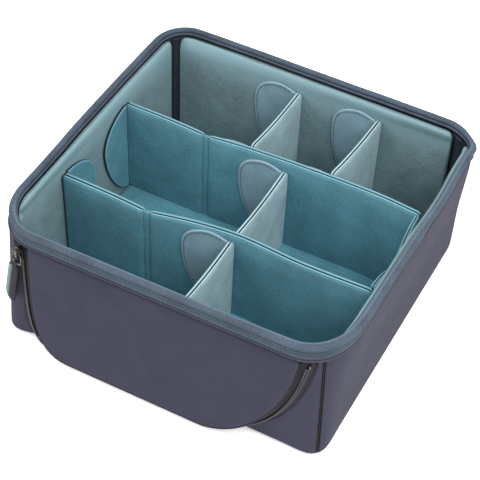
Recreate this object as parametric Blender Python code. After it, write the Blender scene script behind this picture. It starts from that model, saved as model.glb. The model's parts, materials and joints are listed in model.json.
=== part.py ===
"""Padded camera bag insert: an open box with a zipped side door and six lift-out dividers.

All lengths are in metres. X runs along the front, Y to the back and Z up. The origin is the
centre of the base on the surface that the insert stands on.
"""

import math

import bmesh
import bpy
from mathutils import Matrix, Vector

# Body
BODY_WIDTH = 0.300
BODY_DEPTH = 0.285
BODY_HEIGHT = 0.131
CORNER_FRONT_LEFT = 0.042
CORNER_FRONT_RIGHT = 0.034
CORNER_BACK = 0.028
BASE_ROUND = 0.008

# The soft box stands a little skewed, and its front corners are squarer at the base
BASE_ASIDE = 0.0040
CORNER_SQUARE = 0.0085

# Layers of a wall and of the base, from outside to inside
FIT = 0.0003
FABRIC = 0.0012
BOARD = 0.0024
PAD = 0.0058
BASE_BOARD = 0.0020
BASE_PAD = 0.0082
LINING = 0.0008
PAD_SHOULDER = 0.0045

# Rim
RIM_TUBE = 0.0052
RIM_INSET = 0.0022
BINDING = 0.0010
BAND_HEIGHT = 0.018
BAND_FLAT = 0.0048
RIM_PIPING = 0.0008
SEAM_PIPING = 0.0012

# Zipped door in the front wall. Each side is measured at the top, from the side of the box.
DOOR_TOP_GAP = 0.0006
DOOR_PROUD = 0.0165
DOOR_PIPING = 0.0009
DOOR_PAD_INSET = 0.0050
DOOR_SIDE_LEFT = 0.0340
DOOR_SIDE_RIGHT = 0.02525
OPENING_SIDE_LEFT = 0.0190
OPENING_SIDE_RIGHT = 0.0135
PAD_OPENING_SIDE = 0.0230
BOARD_OPENING_SIDE = 0.0152
OPENING_LOW = 0.0050
CUTTER_OVERRUN = 0.010

# Zip
TAPE = 0.0008
COIL_WIDTH = 0.0022
COIL_HEIGHT = 0.0018
ZIP_GAP = 0.0006
STOP_LENGTH = 0.0030
STOP_WIDTH = 0.0010
SLIDER_LENGTH = 0.0105
SLIDER_WIDTH = 0.0078
SLIDER_PLATE = 0.0016
SLIDER_BAIL = 0.0030
SLIDER_TOP_GAP = 0.0090
BAIL_WIRE = 0.0010
BAIL_SLOT = 0.0021
RING_WIDTH = 0.0116
RING_LENGTH = 0.0120
RING_WIRE = 0.0007
RING_BEND = 0.0016
PULL_NECK = 0.0060
PULL_WIDTH = 0.0100
PULL_LENGTH = 0.0460
PULL_LEAF = 0.0010
PULL_SLIT = 0.0002
PULL_SWING = math.radians(10)

# Dividers
LONG_THICK = 0.0070
LONG_HEIGHT_REAR = 0.0965
LONG_HEIGHT_FRONT = 0.0930
SHORT_THICK = 0.0060
SHORT_HEIGHT_REAR = 0.0970
SHORT_HEIGHT_FRONT = 0.0890
SHORT_SCOOP = 0.0030
SEAM_DIP = 0.0025
SEAM_WEB = 0.0024
SEAM_HALF_WIDTH = 0.0032
DIP_REACH = 0.050
FOLD_RISE = 0.0008
EDGE_GROOVE = 0.0014
TAB_FELT = 0.0016
TAB_PADDED = 0.0028
SHORT_TAB_REACH = 0.0400
REAR_TAB_REACH = 0.0360
FRONT_TAB_REACH = 0.0400
TAB_RISE = 0.0030

# Smoothness
CORNER_TURN = 6
ROUND_STEPS = 4
TUBE_SIDES = 8
CURVE_STEPS = 10
FOOT_STEPS = 4
TAB_STEPS = 9
HALVINGS = 24

# Places in degrees round a corner, and shares of the sizes above
SEAM_LEFT = 225
SEAM_RIGHT = 315
BACK_RIGHT = 45
BACK_LEFT = 135
BOARD_SEAM_GAP = 8
SIDE_PAD_TURN = 30
BACK_PAD_TURN = 37
FRONT_PAD_TURN = 30
LINING_GAP_TURN = 1.5
RIM_WRAP_FROM = 205
RIM_STEPS = 8
LONG_STEPS = 9
SHORT_STEPS = 6
PAD_SHOULDER_SHARES = ((0.45, 0.0), (0.80, 0.28), (0.95, 0.75), (1.0, 1.4))
PAD_FOOT_SHARE = 0.85
DOOR_LENGTH_SHARE = 0.9683
DOOR_FOOT_LEFT_SHARE = 0.5133
DOOR_FOOT_RIGHT_SHARE = 0.3267
OPENING_FOOT_LEFT_SHARE = 0.76
OPENING_FOOT_RIGHT_SHARE = 0.4667
DOOR_LEFT_SHARES = ((1.0, 0.0), (0.974, 0.56), (0.947, 0.97))
DOOR_RIGHT_SHARES = ((1.0, 0.0), (0.988, 0.40), (0.756, 0.935))
OPENING_LEFT_SHARES = ((1.0, 0.0), (0.893, 0.34), (1.03, 0.99))
OPENING_RIGHT_SHARES = ((1.0, 0.0), (0.966, 0.34), (0.845, 0.79))
PIPING_SKIP_SHARE = 0.012
TAPE_SKIP_SHARE = 0.015
COIL_SKIP_SHARE = 0.055
SLIDER_SHARES = ((0.35, -1.0), (0.95, -0.75), (1.0, -0.35), (0.62, 1.0))
BAIL_SPAN_SHARE = 0.72
PULL_SHARES = ((1.0, 0.74), (0.97, 0.88), (0.90, 0.94), (0.5, 0.97), (0.26, 1.0))
LIP_SHARE = 0.62
LIP_DROP_SHARE = 0.60
LIP_FALL_SHARE = 0.25
END_SHARE = 0.72
TAB_END_SHARE = 0.93
LONG_TAB_SHAPE_SHARES = (0.67, 1.9, 1.65)
SHORT_TAB_SHAPE_SHARES = (0.72, 3.0, 1.85)

# Sizes that follow from the ones above
HALF_WIDTH = BODY_WIDTH / 2
HALF_DEPTH = BODY_DEPTH / 2
BOARD_OUT = FABRIC + FIT
BOARD_IN = BOARD_OUT + BOARD
PAD_OUT = BOARD_IN + FIT
PAD_IN = PAD_OUT + PAD
BASE_BOARD_LOW = FABRIC + FIT
BASE_PAD_LOW = BASE_BOARD_LOW + BASE_BOARD + FIT
FLOOR = BASE_PAD_LOW + BASE_PAD
RIM_Z = BODY_HEIGHT - RIM_TUBE
CORD = RIM_TUBE - BINDING - FIT
WALL_TOP = RIM_Z - CORD - FIT
BAND_LOW = BODY_HEIGHT - BAND_HEIGHT
RIM_PIPING_Z = BAND_LOW - FIT - RIM_PIPING
HINGE_Z = RIM_PIPING_Z - RIM_PIPING - DOOR_TOP_GAP
DOOR_LENGTH = HINGE_Z * DOOR_LENGTH_SHARE
DOOR_LEAN = math.asin(DOOR_PROUD / DOOR_LENGTH)
DIVIDER_FOOT = FLOOR + FIT
INNER_X = HALF_WIDTH - PAD_IN
INNER_Y = HALF_DEPTH - PAD_IN

# Plan lines of the two long dividers, in shares of the inner half width and half depth
REAR_LINE_SHARES = ((-1, 0.351), (-0.4143, 0.3358), (0.2143, 0.3585), (0.7143, 0.3547), (1, 0.3245))
FRONT_LINE_SHARES = ((-1, -0.4), (-0.4071, -0.4189), (0.1286, -0.3457), (0.5714, -0.3713), (1, -0.366))
REAR_LINE = [(INNER_X * x, INNER_Y * y) for x, y in REAR_LINE_SHARES]
FRONT_LINE = [(INNER_X * x, INNER_Y * y) for x, y in FRONT_LINE_SHARES]

# Short dividers: name, then their front end and back end in shares of the inner half width
REAR_LEFT_SHARES = ("rear_short_divider_left", -0.1179, -0.0957)
REAR_RIGHT_SHARES = ("rear_short_divider_right", 0.4121, 0.4536)
MIDDLE_SHORT_SHARES = ("middle_short_divider", 0.1321, 0.1336)
FRONT_SHORT_SHARES = ("front_short_divider", 0.1179, 0.13)

# Colours are linear: (red, green, blue), then roughness and metallic
FINISHES = {
    "polyester_shell": ((0.078, 0.076, 0.125), 0.85, 0.0),
    "rim_tape": ((0.120, 0.165, 0.220), 0.80, 0.0),
    "teal_lining": ((0.250, 0.430, 0.450), 0.90, 0.0),
    "teal_divider": ((0.080, 0.240, 0.300), 0.88, 0.0),
    "grey_divider": ((0.210, 0.330, 0.350), 0.90, 0.0),
    "tab_felt": ((0.150, 0.230, 0.270), 0.95, 0.0),
    "dark_fabric": ((0.010, 0.011, 0.018), 0.85, 0.0),
    "zip_tape": ((0.020, 0.020, 0.028), 0.80, 0.0),
    "zip_nylon": ((0.012, 0.012, 0.015), 0.45, 0.0),
    "gunmetal": ((0.080, 0.078, 0.075), 0.35, 1.0),
    "pull_rubber": ((0.180, 0.260, 0.270), 0.50, 0.0),
    "core_board": ((0.600, 0.600, 0.580), 0.60, 0.0),
}


def clear_scene():
    """Remove what the startup scene holds."""
    for thing in list(bpy.data.objects):
        bpy.data.objects.remove(thing, do_unlink=True)


def finish(name):
    """The material of that name, made once."""
    found = bpy.data.materials.get(name)
    if found:
        return found
    colour, roughness, metallic = FINISHES[name]
    made = bpy.data.materials.new(name)
    made.use_nodes = True
    shader = made.node_tree.nodes["Principled BSDF"]
    shader.inputs["Base Color"].default_value = (*colour, 1.0)
    shader.inputs["Roughness"].default_value = roughness
    shader.inputs["Metallic"].default_value = metallic
    return made


def add_object(name, points, faces, material):
    """An object from points and faces, with its faces turned outwards."""
    mesh = bpy.data.meshes.new(name)
    mesh.from_pydata([tuple(point) for point in points], [], faces)
    shape = bmesh.new()
    shape.from_mesh(mesh)
    bmesh.ops.recalc_face_normals(shape, faces=shape.faces)
    shape.to_mesh(mesh)
    shape.free()
    mesh.shade_smooth()
    mesh.set_sharp_from_angle(angle=math.radians(38))
    mesh.materials.append(finish(material))
    made = bpy.data.objects.new(name, mesh)
    bpy.context.collection.objects.link(made)
    return made


def loft(name, rings, material, closed=False):
    """A solid through rings of equally many points. An open one gets a cap at each end.

    Each side face is split from its lower point on one ring to the higher point on the next, so
    that the twisted faces of neighbouring layers stay parallel.
    """
    count = len(rings[0])
    points = [point for ring in rings for point in ring]
    faces = []
    spans = len(rings) if closed else len(rings) - 1
    for row in range(spans):
        here, there = row * count, (row + 1) % len(rings) * count
        for k in range(count):
            after = (k + 1) % count
            if points[here + k].z <= points[here + after].z:
                faces.append((here + k, here + after, there + after))
                faces.append((here + k, there + after, there + k))
            else:
                faces.append((here + k, here + after, there + k))
                faces.append((here + after, there + after, there + k))
    if not closed:
        faces.append(tuple(reversed(range(count))))
        faces.append(tuple(range(len(points) - count, len(points))))
    return add_object(name, points, faces, material)


def axis_empty(name, place, rotation=(0, 0, 0)):
    """An empty on a joint's axis, for the pieces that turn or slide there."""
    made = bpy.data.objects.new(name, None)
    made.location = place
    made.rotation_euler = rotation
    bpy.context.collection.objects.link(made)
    return made


def upright_axis(name, across, back):
    """An empty on the compartment floor whose upright axis leans with the skewed box."""
    lean = math.atan(BASE_ASIDE / BODY_HEIGHT)
    return axis_empty(name, (across + aside(DIVIDER_FOOT), back, DIVIDER_FOOT), (0, lean, 0))


def arc(centre, radius, first, last, steps):
    """Points (across, up) of an arc, with its angles in degrees."""
    turns = [math.radians(first + (last - first) * k / steps) for k in range(steps + 1)]
    return [(centre[0] + radius * math.cos(a), centre[1] + radius * math.sin(a)) for a in turns]


# The box outline is four corner arcs joined by straight walls. A station is the centre of its
# arc, the arc's radius and the direction out of the wall.


def corner(which, first, last):
    """Stations round one corner between two angles in degrees, at the same turns for every layer."""
    radius = CORNER_BACK
    if which[0] == "front":
        radius = CORNER_FRONT_LEFT if which[1] == "left" else CORNER_FRONT_RIGHT
    side = 1 if which[1] == "right" else -1
    end = 1 if which[0] == "back" else -1
    centre = Vector((side * (HALF_WIDTH - radius), end * (HALF_DEPTH - radius), 0))
    between = [turn for turn in range(0, 360, CORNER_TURN) if first < turn < last]
    turns = [math.radians(turn) for turn in [first] + between + [last]]
    return [(centre, radius, Vector((math.cos(a), math.sin(a), 0))) for a in turns]


def whole_outline():
    """Stations all round the box."""
    return (
        corner(("front", "left"), 180, 270)
        + corner(("front", "right"), 270, 360)
        + corner(("back", "right"), 0, 90)
        + corner(("back", "left"), 90, 180)
    )


def aside(height):
    """How far the skewed box lies to the left at that height."""
    return BASE_ASIDE * (height / BODY_HEIGHT - 1)


def at_inset(station, inset, height):
    """The point that far inside the box outline, at that height."""
    centre, radius, out = station
    point = centre + out * (radius - inset) + Vector((aside(height), 0, height))
    if centre.y < 0:
        square = CORNER_SQUARE * max(1 - height / WALL_TOP, 0) * (2 * out.x * out.y) ** 2
        point += Vector((math.copysign(square, centre.x), -square, 0)) * math.sqrt(0.5)
    return point


def sweep(name, stations, section, material, closed=False):
    """A solid of one section, given as (inset, height), along the box outline."""
    rings = [[at_inset(station, inset, height) for inset, height in section] for station in stations]
    return loft(name, rings, material, closed)


def wall_fabric_section():
    """Outer fabric: rounded under the base, then straight up to the rim."""
    outer = arc((BASE_ROUND, BASE_ROUND), BASE_ROUND, 270, 180, ROUND_STEPS)
    inner = arc((BASE_ROUND, BASE_ROUND), BASE_ROUND - FABRIC, 180, 270, ROUND_STEPS)
    return outer + [(0, WALL_TOP), (FABRIC, WALL_TOP)] + inner


def slab_section(outside, inside, low, high):
    """A plain upright layer between two insets and two heights."""
    return [(outside, low), (outside, high), (inside, high), (inside, low)]


def base_layer(name, inset, low, high, material):
    """A flat layer of the base, with the rounded outline of the box."""
    rings = [[at_inset(s, inset, z) for s in whole_outline()] for z in (low, high)]
    return loft(name, rings, material)


def build_shell():
    """Outer fabric: a front wall, a wrap of the other three walls and the base."""
    skip = math.degrees((SEAM_PIPING + FIT) / (CORNER_FRONT_RIGHT - FABRIC))
    front = corner(("front", "left"), SEAM_LEFT + skip, 270) + corner(("front", "right"), 270, SEAM_RIGHT - skip)
    wrap = (
        corner(("front", "right"), SEAM_RIGHT + skip, 360)
        + corner(("back", "right"), 0, 90)
        + corner(("back", "left"), 90, 180)
        + corner(("front", "left"), 180, SEAM_LEFT - skip)
    )
    fabric = sweep("front_wall_fabric", front, wall_fabric_section(), "polyester_shell")
    cut(fabric, front_cutter("fabric_opening", opening_outline()))
    sweep("wrap_wall_fabric", wrap, wall_fabric_section(), "polyester_shell")
    base_layer("base_fabric", BASE_ROUND + FIT, 0, FABRIC, "polyester_shell")
    for side, place in (("left", SEAM_LEFT), ("right", SEAM_RIGHT)):
        seam_piping("front_" + side + "_seam_piping", corner(("front", side), place, place)[0])


def seam_piping(name, station):
    """Piping in a front corner seam, from the rim down and round under the base."""
    path = [(SEAM_PIPING, RIM_PIPING_Z - RIM_PIPING - FIT), (SEAM_PIPING, BODY_HEIGHT / 2)]
    path += arc((BASE_ROUND, BASE_ROUND), BASE_ROUND - SEAM_PIPING, 180, 260, ROUND_STEPS)
    line = [at_inset(station, inset, height) for inset, height in path]
    tube(name, line, SEAM_PIPING, "dark_fabric")


def tube(name, line, radius, material, closed=False):
    """A round rod along a line of points."""
    rings = []
    last = len(line) - 1
    side = None
    for k, point in enumerate(line):
        before = line[k - 1] if k or closed else point
        after = line[(k + 1) % len(line)] if k < last or closed else point
        along = (after - before).normalized()
        if side is None:
            side = along.orthogonal()
        side = (side - along * side.dot(along)).normalized()
        up = along.cross(side)
        turns = [2 * math.pi * j / TUBE_SIDES for j in range(TUBE_SIDES)]
        rings.append([point + (side * math.cos(a) + up * math.sin(a)) * radius for a in turns])
    return loft(name, rings, material, closed)


def build_boards():
    """Stiffening boards between the fabric and the padding."""
    section = slab_section(BOARD_OUT, BOARD_IN, BASE_ROUND, WALL_TOP)
    half = BOARD_SEAM_GAP / 2
    front = corner(("front", "left"), SEAM_LEFT + half, 270) + corner(("front", "right"), 270, SEAM_RIGHT - half)
    right = corner(("front", "right"), SEAM_RIGHT + half, 360) + corner(("back", "right"), 0, BACK_RIGHT - half)
    back = corner(("back", "right"), BACK_RIGHT + half, 90) + corner(("back", "left"), 90, BACK_LEFT - half)
    left = corner(("back", "left"), BACK_LEFT + half, 180) + corner(("front", "left"), 180, SEAM_LEFT - half)
    board = sweep("front_wall_board", front, section, "core_board")
    cut(board, front_cutter("board_opening", opening_outline(HALF_WIDTH - BOARD_OPENING_SIDE)))
    sweep("right_wall_board", right, section, "core_board")
    sweep("back_wall_board", back, section, "core_board")
    sweep("left_wall_board", left, section, "core_board")
    base_layer("base_board", BASE_ROUND, BASE_BOARD_LOW, BASE_BOARD_LOW + BASE_BOARD, "core_board")


def pad_ring(station, facing, low, high):
    """Section of a wall pad, whose inner face stays flat where its back follows a corner."""
    centre, radius, out = station
    inner = radius - (radius - PAD_IN) / out.dot(facing)
    depth = inner - PAD_OUT
    shape = [(PAD_OUT, low), (PAD_OUT, high)]
    for share, drop_share in PAD_SHOULDER_SHARES:
        shape.append((PAD_OUT + depth * share, high - PAD_SHOULDER * drop_share))
    shape += [(inner, low + PAD_SHOULDER / 2), (PAD_OUT + depth * PAD_FOOT_SHARE, low)]
    return [at_inset(station, inset, height) for inset, height in shape]


def wall_pad(name, stations, facing):
    """A padded wall panel along the box outline, facing one way."""
    rings = [pad_ring(station, Vector(facing), BASE_PAD_LOW, WALL_TOP) for station in stations]
    return loft(name, rings, "teal_lining")


def build_pads():
    """Padded lining panels, the floor pad and the dark lining that shows in the corners."""
    wall_pad(
        "left_wall_pad",
        corner(("back", "left"), 180 - SIDE_PAD_TURN, 180) + corner(("front", "left"), 180, 180 + SIDE_PAD_TURN),
        (-1, 0, 0),
    )
    wall_pad(
        "right_wall_pad",
        corner(("front", "right"), 360 - SIDE_PAD_TURN, 360) + corner(("back", "right"), 0, SIDE_PAD_TURN),
        (1, 0, 0),
    )
    wall_pad(
        "back_wall_pad",
        corner(("back", "right"), 90 - BACK_PAD_TURN, 90) + corner(("back", "left"), 90, 90 + BACK_PAD_TURN),
        (0, 1, 0),
    )
    front = corner(("front", "left"), 270 - FRONT_PAD_TURN, 270)
    front += corner(("front", "right"), 270, 270 + FRONT_PAD_TURN)
    cut(wall_pad("front_wall_pad", front, (0, -1, 0)), front_cutter("pad_opening", pad_outline()))
    base_layer("floor_pad", PAD_IN + FIT, BASE_PAD_LOW, FLOOR, "teal_lining")
    section = slab_section(PAD_OUT + FIT, PAD_OUT + FIT + LINING, BASE_PAD_LOW, WALL_TOP)
    bare = SIDE_PAD_TURN + LINING_GAP_TURN
    end = 90 - BACK_PAD_TURN - LINING_GAP_TURN
    front_end = 90 - FRONT_PAD_TURN - LINING_GAP_TURN
    sweep("back_left_corner_lining", corner(("back", "left"), 180 - end, 180 - bare), section, "dark_fabric")
    sweep("back_right_corner_lining", corner(("back", "right"), bare, end), section, "dark_fabric")
    sweep("front_left_corner_lining", corner(("front", "left"), 180 + bare, 180 + front_end), section, "dark_fabric")
    sweep("front_right_corner_lining", corner(("front", "right"), 360 - front_end, 360 - bare), section, "dark_fabric")


def build_rim():
    """The cord round the rim, the woven tape folded over it and the piping under the tape."""
    rod = arc((RIM_INSET, RIM_Z), CORD, 0, 360, TUBE_SIDES)[:-1]
    sweep("rim_cord", whole_outline(), rod, "core_board", closed=True)
    outer = arc((RIM_INSET, RIM_Z), RIM_TUBE, RIM_WRAP_FROM, 0, RIM_STEPS)
    inner = arc((RIM_INSET, RIM_Z), RIM_TUBE - BINDING, 0, RIM_WRAP_FROM, RIM_STEPS)
    section = [(-FIT - BINDING, BAND_LOW), (-FIT - BINDING, BAND_LOW + BAND_FLAT)] + outer
    section += [(RIM_INSET + RIM_TUBE, RIM_Z - CORD), (RIM_INSET + RIM_TUBE - BINDING, RIM_Z - CORD)]
    section += inner + [(-FIT, BAND_LOW + BAND_FLAT), (-FIT, BAND_LOW)]
    sweep("rim_binding", whole_outline(), section, "rim_tape", closed=True)
    piping = arc((-FIT - RIM_PIPING, RIM_PIPING_Z), RIM_PIPING, 0, 360, TUBE_SIDES)[:-1]
    sweep("rim_edge_piping", whole_outline(), piping, "polyester_shell", closed=True)


def bezier(ends, share):
    """The point at that share of a cubic curve."""
    rest = 1 - share
    weights = (rest**3, 3 * rest**2 * share, 3 * rest * share**2, share**3)
    return sum((Vector(point) * weight for point, weight in zip(ends, weights)), Vector((0, 0)))


def u_curve(left, right, skip_share):
    """Points (across, drop) down a left curve, along the foot and up a right curve."""
    span = 1 - skip_share
    down = [bezier(left, skip_share + span * k / CURVE_STEPS) for k in range(CURVE_STEPS + 1)]
    foot = [down[-1].lerp(Vector(right[-1]), k / FOOT_STEPS) for k in range(1, FOOT_STEPS)]
    up = [bezier(right, 1 - span * k / CURVE_STEPS) for k in range(CURVE_STEPS + 1)]
    return down + foot + up


def side_curve(side, margin, drop, shares, foot_share):
    """The four points of a cubic curve down one side of the door or of its opening."""
    across = side * (HALF_WIDTH - margin)
    return [(across * x, drop * s) for x, s in shares] + [(side * HALF_WIDTH * foot_share, drop)]


def door_curve(skip_share=0):
    """Outer edge of the door in its own plane: (across, distance down from the hinge)."""
    left = side_curve(-1, DOOR_SIDE_LEFT, DOOR_LENGTH, DOOR_LEFT_SHARES, DOOR_FOOT_LEFT_SHARE)
    right = side_curve(1, DOOR_SIDE_RIGHT, DOOR_LENGTH, DOOR_RIGHT_SHARES, DOOR_FOOT_RIGHT_SHARE)
    return u_curve(left, right, skip_share)


def opening_curve(skip_share=0):
    """Edge of the opening in the front wall: (across, distance down from the hinge)."""
    drop = HINGE_Z - OPENING_LOW
    left = side_curve(-1, OPENING_SIDE_LEFT, drop, OPENING_LEFT_SHARES, OPENING_FOOT_LEFT_SHARE)
    right = side_curve(1, OPENING_SIDE_RIGHT, drop, OPENING_RIGHT_SHARES, OPENING_FOOT_RIGHT_SHARE)
    return u_curve(left, right, skip_share)


def cutter(name, rings):
    """A hidden solid to cut with."""
    made = loft(name, rings, "core_board")
    made.hide_render = True
    made.display_type = "WIRE"
    return made


def cut(piece, tool):
    """Take the tool's shape out of the piece."""
    change = piece.modifiers.new("cut", "BOOLEAN")
    change.operation = "DIFFERENCE"
    change.solver = "EXACT"
    change.object = tool


def front_cutter(name, outline):
    """A cutter of that outline, given as (across, height), right through the front wall."""
    depths = (-HALF_DEPTH - CUTTER_OVERRUN, -HALF_DEPTH + CORNER_FRONT_LEFT)
    return cutter(name, [[Vector((x, y, z)) for x, z in outline] for y in depths])


def opening_outline(limit=BODY_WIDTH):
    """Outline of the door's opening, no further right than the limit."""
    outline = [(min(x, limit), HINGE_Z - drop) for x, drop in opening_curve()]
    return [(outline[0][0], HINGE_Z + FIT)] + outline[1:-1] + [(outline[-1][0], HINGE_Z + FIT)]


def pad_outline():
    """Outline that leaves the front pad its top strip and the part right of the door."""
    right = opening_outline(HALF_WIDTH - PAD_OPENING_SIDE)[-CURVE_STEPS - 1 :]
    outline = [(right[0][0], -CUTTER_OVERRUN)] + right
    return outline + [(-BODY_WIDTH, HINGE_Z + FIT), (-BODY_WIDTH, -CUTTER_OVERRUN)]


def door_point(across, back, drop):
    """A point of the leaning door, from its place across, behind its face and below its hinge."""
    turn = Matrix.Rotation(-DOOR_LEAN, 3, "X")
    return Vector((0, -HALF_DEPTH, HINGE_Z)) + turn @ Vector((across, back, -drop))


def offset_curve(points, inset):
    """The same open curve, moved inside the shape that it goes round."""
    moved = []
    for k, point in enumerate(points):
        along = points[min(k + 1, len(points) - 1)] - points[max(k - 1, 0)]
        moved.append(point + Vector((along.y, -along.x)).normalized() * inset)
    return moved


def door_layer(name, levels, material, parent):
    """A layer of the door through levels of (edge inset, depth behind the face, top gap)."""
    rings = []
    for inset, back, top in levels:
        edge = offset_curve(door_curve(), inset)
        rings.append([door_point(x, back, max(s, top)) for x, s in edge])
    return carry(loft(name, rings, material), parent)


def carry(piece, parent):
    """Hang a piece that is already in its place on an empty."""
    bpy.context.view_layer.update()
    piece.parent = parent
    piece.matrix_parent_inverse = parent.matrix_world.inverted()
    return piece


def build_door():
    """The leaning padded door that hangs from the rim, with its edge piping."""
    hinge = axis_empty("door_hinge_axis", (0, -HALF_DEPTH, HINGE_Z), (-DOOR_LEAN, 0, 0))
    edge = 2 * DOOR_PIPING + FIT
    top = DOOR_TOP_GAP
    round_off = DOOR_PAD_INSET + PAD_SHOULDER / 2
    door_layer("door_fabric", [(edge, 0, top), (edge, FABRIC, top)], "polyester_shell", hinge)
    inner = edge + FIT
    door_layer("door_board", [(inner, BOARD_OUT, top), (inner, BOARD_IN, top)], "core_board", hinge)
    levels = [
        (DOOR_PAD_INSET, PAD_OUT, top),
        (DOOR_PAD_INSET, PAD_IN - PAD_SHOULDER / 2, top),
        (round_off, PAD_IN, top + PAD_SHOULDER / 2),
    ]
    door_layer("door_pad", levels, "teal_lining", hinge)
    line = offset_curve(door_curve(PIPING_SKIP_SHARE), DOOR_PIPING)
    rod = tube("door_piping", [door_point(x, DOOR_PIPING, s) for x, s in line], DOOR_PIPING, "dark_fabric")
    carry(rod, hinge)
    return hinge


def wall_face(across, height):
    """Where the outer face of the front wall lies, at a place across and a height."""
    side = math.copysign(1, across)
    radius = CORNER_FRONT_LEFT if side < 0 else CORNER_FRONT_RIGHT
    centre = Vector((side * (HALF_WIDTH - radius), radius - HALF_DEPTH, 0))
    below = max(BASE_ROUND - height, 0)
    base_step = BASE_ROUND - math.sqrt(BASE_ROUND**2 - below**2)
    low, high = 0.0, math.pi / 2
    for _ in range(HALVINGS):
        turn = (low + high) / 2
        point = at_inset((centre, radius, Vector((side * math.sin(turn), -math.cos(turn), 0))), 0, height)
        if side * (point.x - across) < 0:
            low = turn
        else:
            high = turn
    return point.y + base_step


def zip_frames(skip_share):
    """Along the zip: its middle, the way to the wall, the way outwards and the half width."""
    edge = offset_curve(door_curve(skip_share), DOOR_PIPING)
    inner = [door_point(x, 2 * DOOR_PIPING + FIT, s) for x, s in edge]
    outer = []
    for x, drop in opening_curve(skip_share):
        outer.append(Vector((x, wall_face(x, HINGE_Z - drop), HINGE_Z - drop)))
    middle = [(a + b) / 2 for a, b in zip(inner, outer)]
    frames = []
    for k, point in enumerate(middle):
        along = (middle[min(k + 1, len(middle) - 1)] - middle[max(k - 1, 0)]).normalized()
        aside = (outer[k] - inner[k]) / 2
        out = aside.cross(along).normalized()
        frames.append((point, aside.normalized(), out, aside.length))
    return frames


def zip_strip(name, frames, reach, lift, thick, material, parent=None):
    """A strip along the zip. reach(half width) gives its two edges, measured towards the wall."""
    rings = []
    for point, aside, out, half in frames:
        near, far = reach(half)
        corners = ((near, lift), (near, lift + thick), (far, lift + thick), (far, lift))
        rings.append([point + aside * place + out * height for place, height in corners])
    made = loft(name, rings, material)
    return carry(made, parent) if parent else made


def build_zip(hinge):
    """Tapes, coils and stops of the zip, one half on the wall and one on the door."""
    tapes = zip_frames(TAPE_SKIP_SHARE)
    coils = zip_frames(COIL_SKIP_SHARE)
    gap = ZIP_GAP / 2
    far = gap + COIL_WIDTH
    near = far - STOP_WIDTH
    zip_strip("zip_tape_wall", tapes, lambda half: (gap, half - FIT), -TAPE, TAPE, "zip_tape")
    zip_strip("zip_tape_door", tapes, lambda half: (-half, -gap), -TAPE, TAPE, "zip_tape", hinge)
    zip_strip("zip_coil_wall", coils, lambda half: (gap, far), FIT, COIL_HEIGHT, "zip_nylon")
    zip_strip("zip_coil_door", coils, lambda half: (-far, -gap), FIT, COIL_HEIGHT, "zip_nylon", hinge)
    for name, place, sign in (("zip_stop_left", coils[0], -1), ("zip_stop_right", coils[-1], 1)):
        point, aside, out, half = place
        along = out.cross(aside) * sign
        rings = [
            [
                point + along * (step + FIT) + aside * side + out * height
                for side, height in ((near, FIT), (far, FIT), (far, COIL_HEIGHT), (near, COIL_HEIGHT))
            ]
            for step in (0, STOP_LENGTH)
        ]
        loft(name, rings, "gunmetal")


def build_slider(hinge):
    """The slider at the closed end of the zip, its ring and its folded rubber pull."""
    point, down, out = slider_place()
    aside = out.cross(down)
    seat = point + out * (FIT + COIL_HEIGHT + FIT)
    slide = carry(axis_empty("slider_axis", seat), hinge)
    frame = (seat, aside, down, out)
    plate = slab("zip_slider", frame, slider_outline(), 0, SLIDER_PLATE, "gunmetal")
    join = plate.modifiers.new("bail", "BOOLEAN")
    join.operation = "UNION"
    join.object = bail_solid(frame)
    carry(plate, slide)
    build_pull(frame, slide)


def slider_place():
    """The middle of the zip where the slider sits, the way down along it and the way out."""
    frames = zip_frames(COIL_SKIP_SHARE)
    below = next(k for k in range(1, len(frames)) if frames[k][0].z < HINGE_Z - SLIDER_TOP_GAP)
    before, after = frames[below - 1][0], frames[below][0]
    share = (before.z - HINGE_Z + SLIDER_TOP_GAP) / (before.z - after.z)
    return before.lerp(after, share), (after - before).normalized(), frames[below][2]


def slider_outline():
    """Outline of the slider: two shoulders at the top that narrow to the foot."""
    half, long = SLIDER_WIDTH / 2, SLIDER_LENGTH / 2
    right = [(half * x, long * y) for x, y in SLIDER_SHARES]
    return right + [(-x, y) for x, y in reversed(right)]


def slab(name, frame, outline, low, high, material):
    """A flat solid of an outline (across, down) between two heights over a frame."""
    origin, aside, down, out = frame
    rings = []
    for height in (low, high):
        rings.append([origin + aside * x + down * y + out * height for x, y in outline])
    return loft(name, rings, material)


def bail_solid(frame):
    """The arch on the slider that holds the ring, a hidden solid joined to the slider."""
    origin, aside, down, out = frame
    half, base, crown = SLIDER_LENGTH * BAIL_SPAN_SHARE / 2, SLIDER_PLATE / 2, SLIDER_PLATE + BAIL_SLOT
    outer = [(-half, base), (-half, crown), (-half + BAIL_WIRE, crown + BAIL_WIRE)]
    outer += [(half - BAIL_WIRE, crown + BAIL_WIRE), (half, crown), (half, base)]
    inner = [(half - BAIL_WIRE, base), (half - BAIL_WIRE, crown), (BAIL_WIRE - half, crown), (BAIL_WIRE - half, base)]
    rings = []
    for side in (-SLIDER_BAIL / 2, SLIDER_BAIL / 2):
        rings.append([origin + aside * side + down * y + out * h for y, h in outer + inner])
    return cutter("slider_bail", rings)


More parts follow.
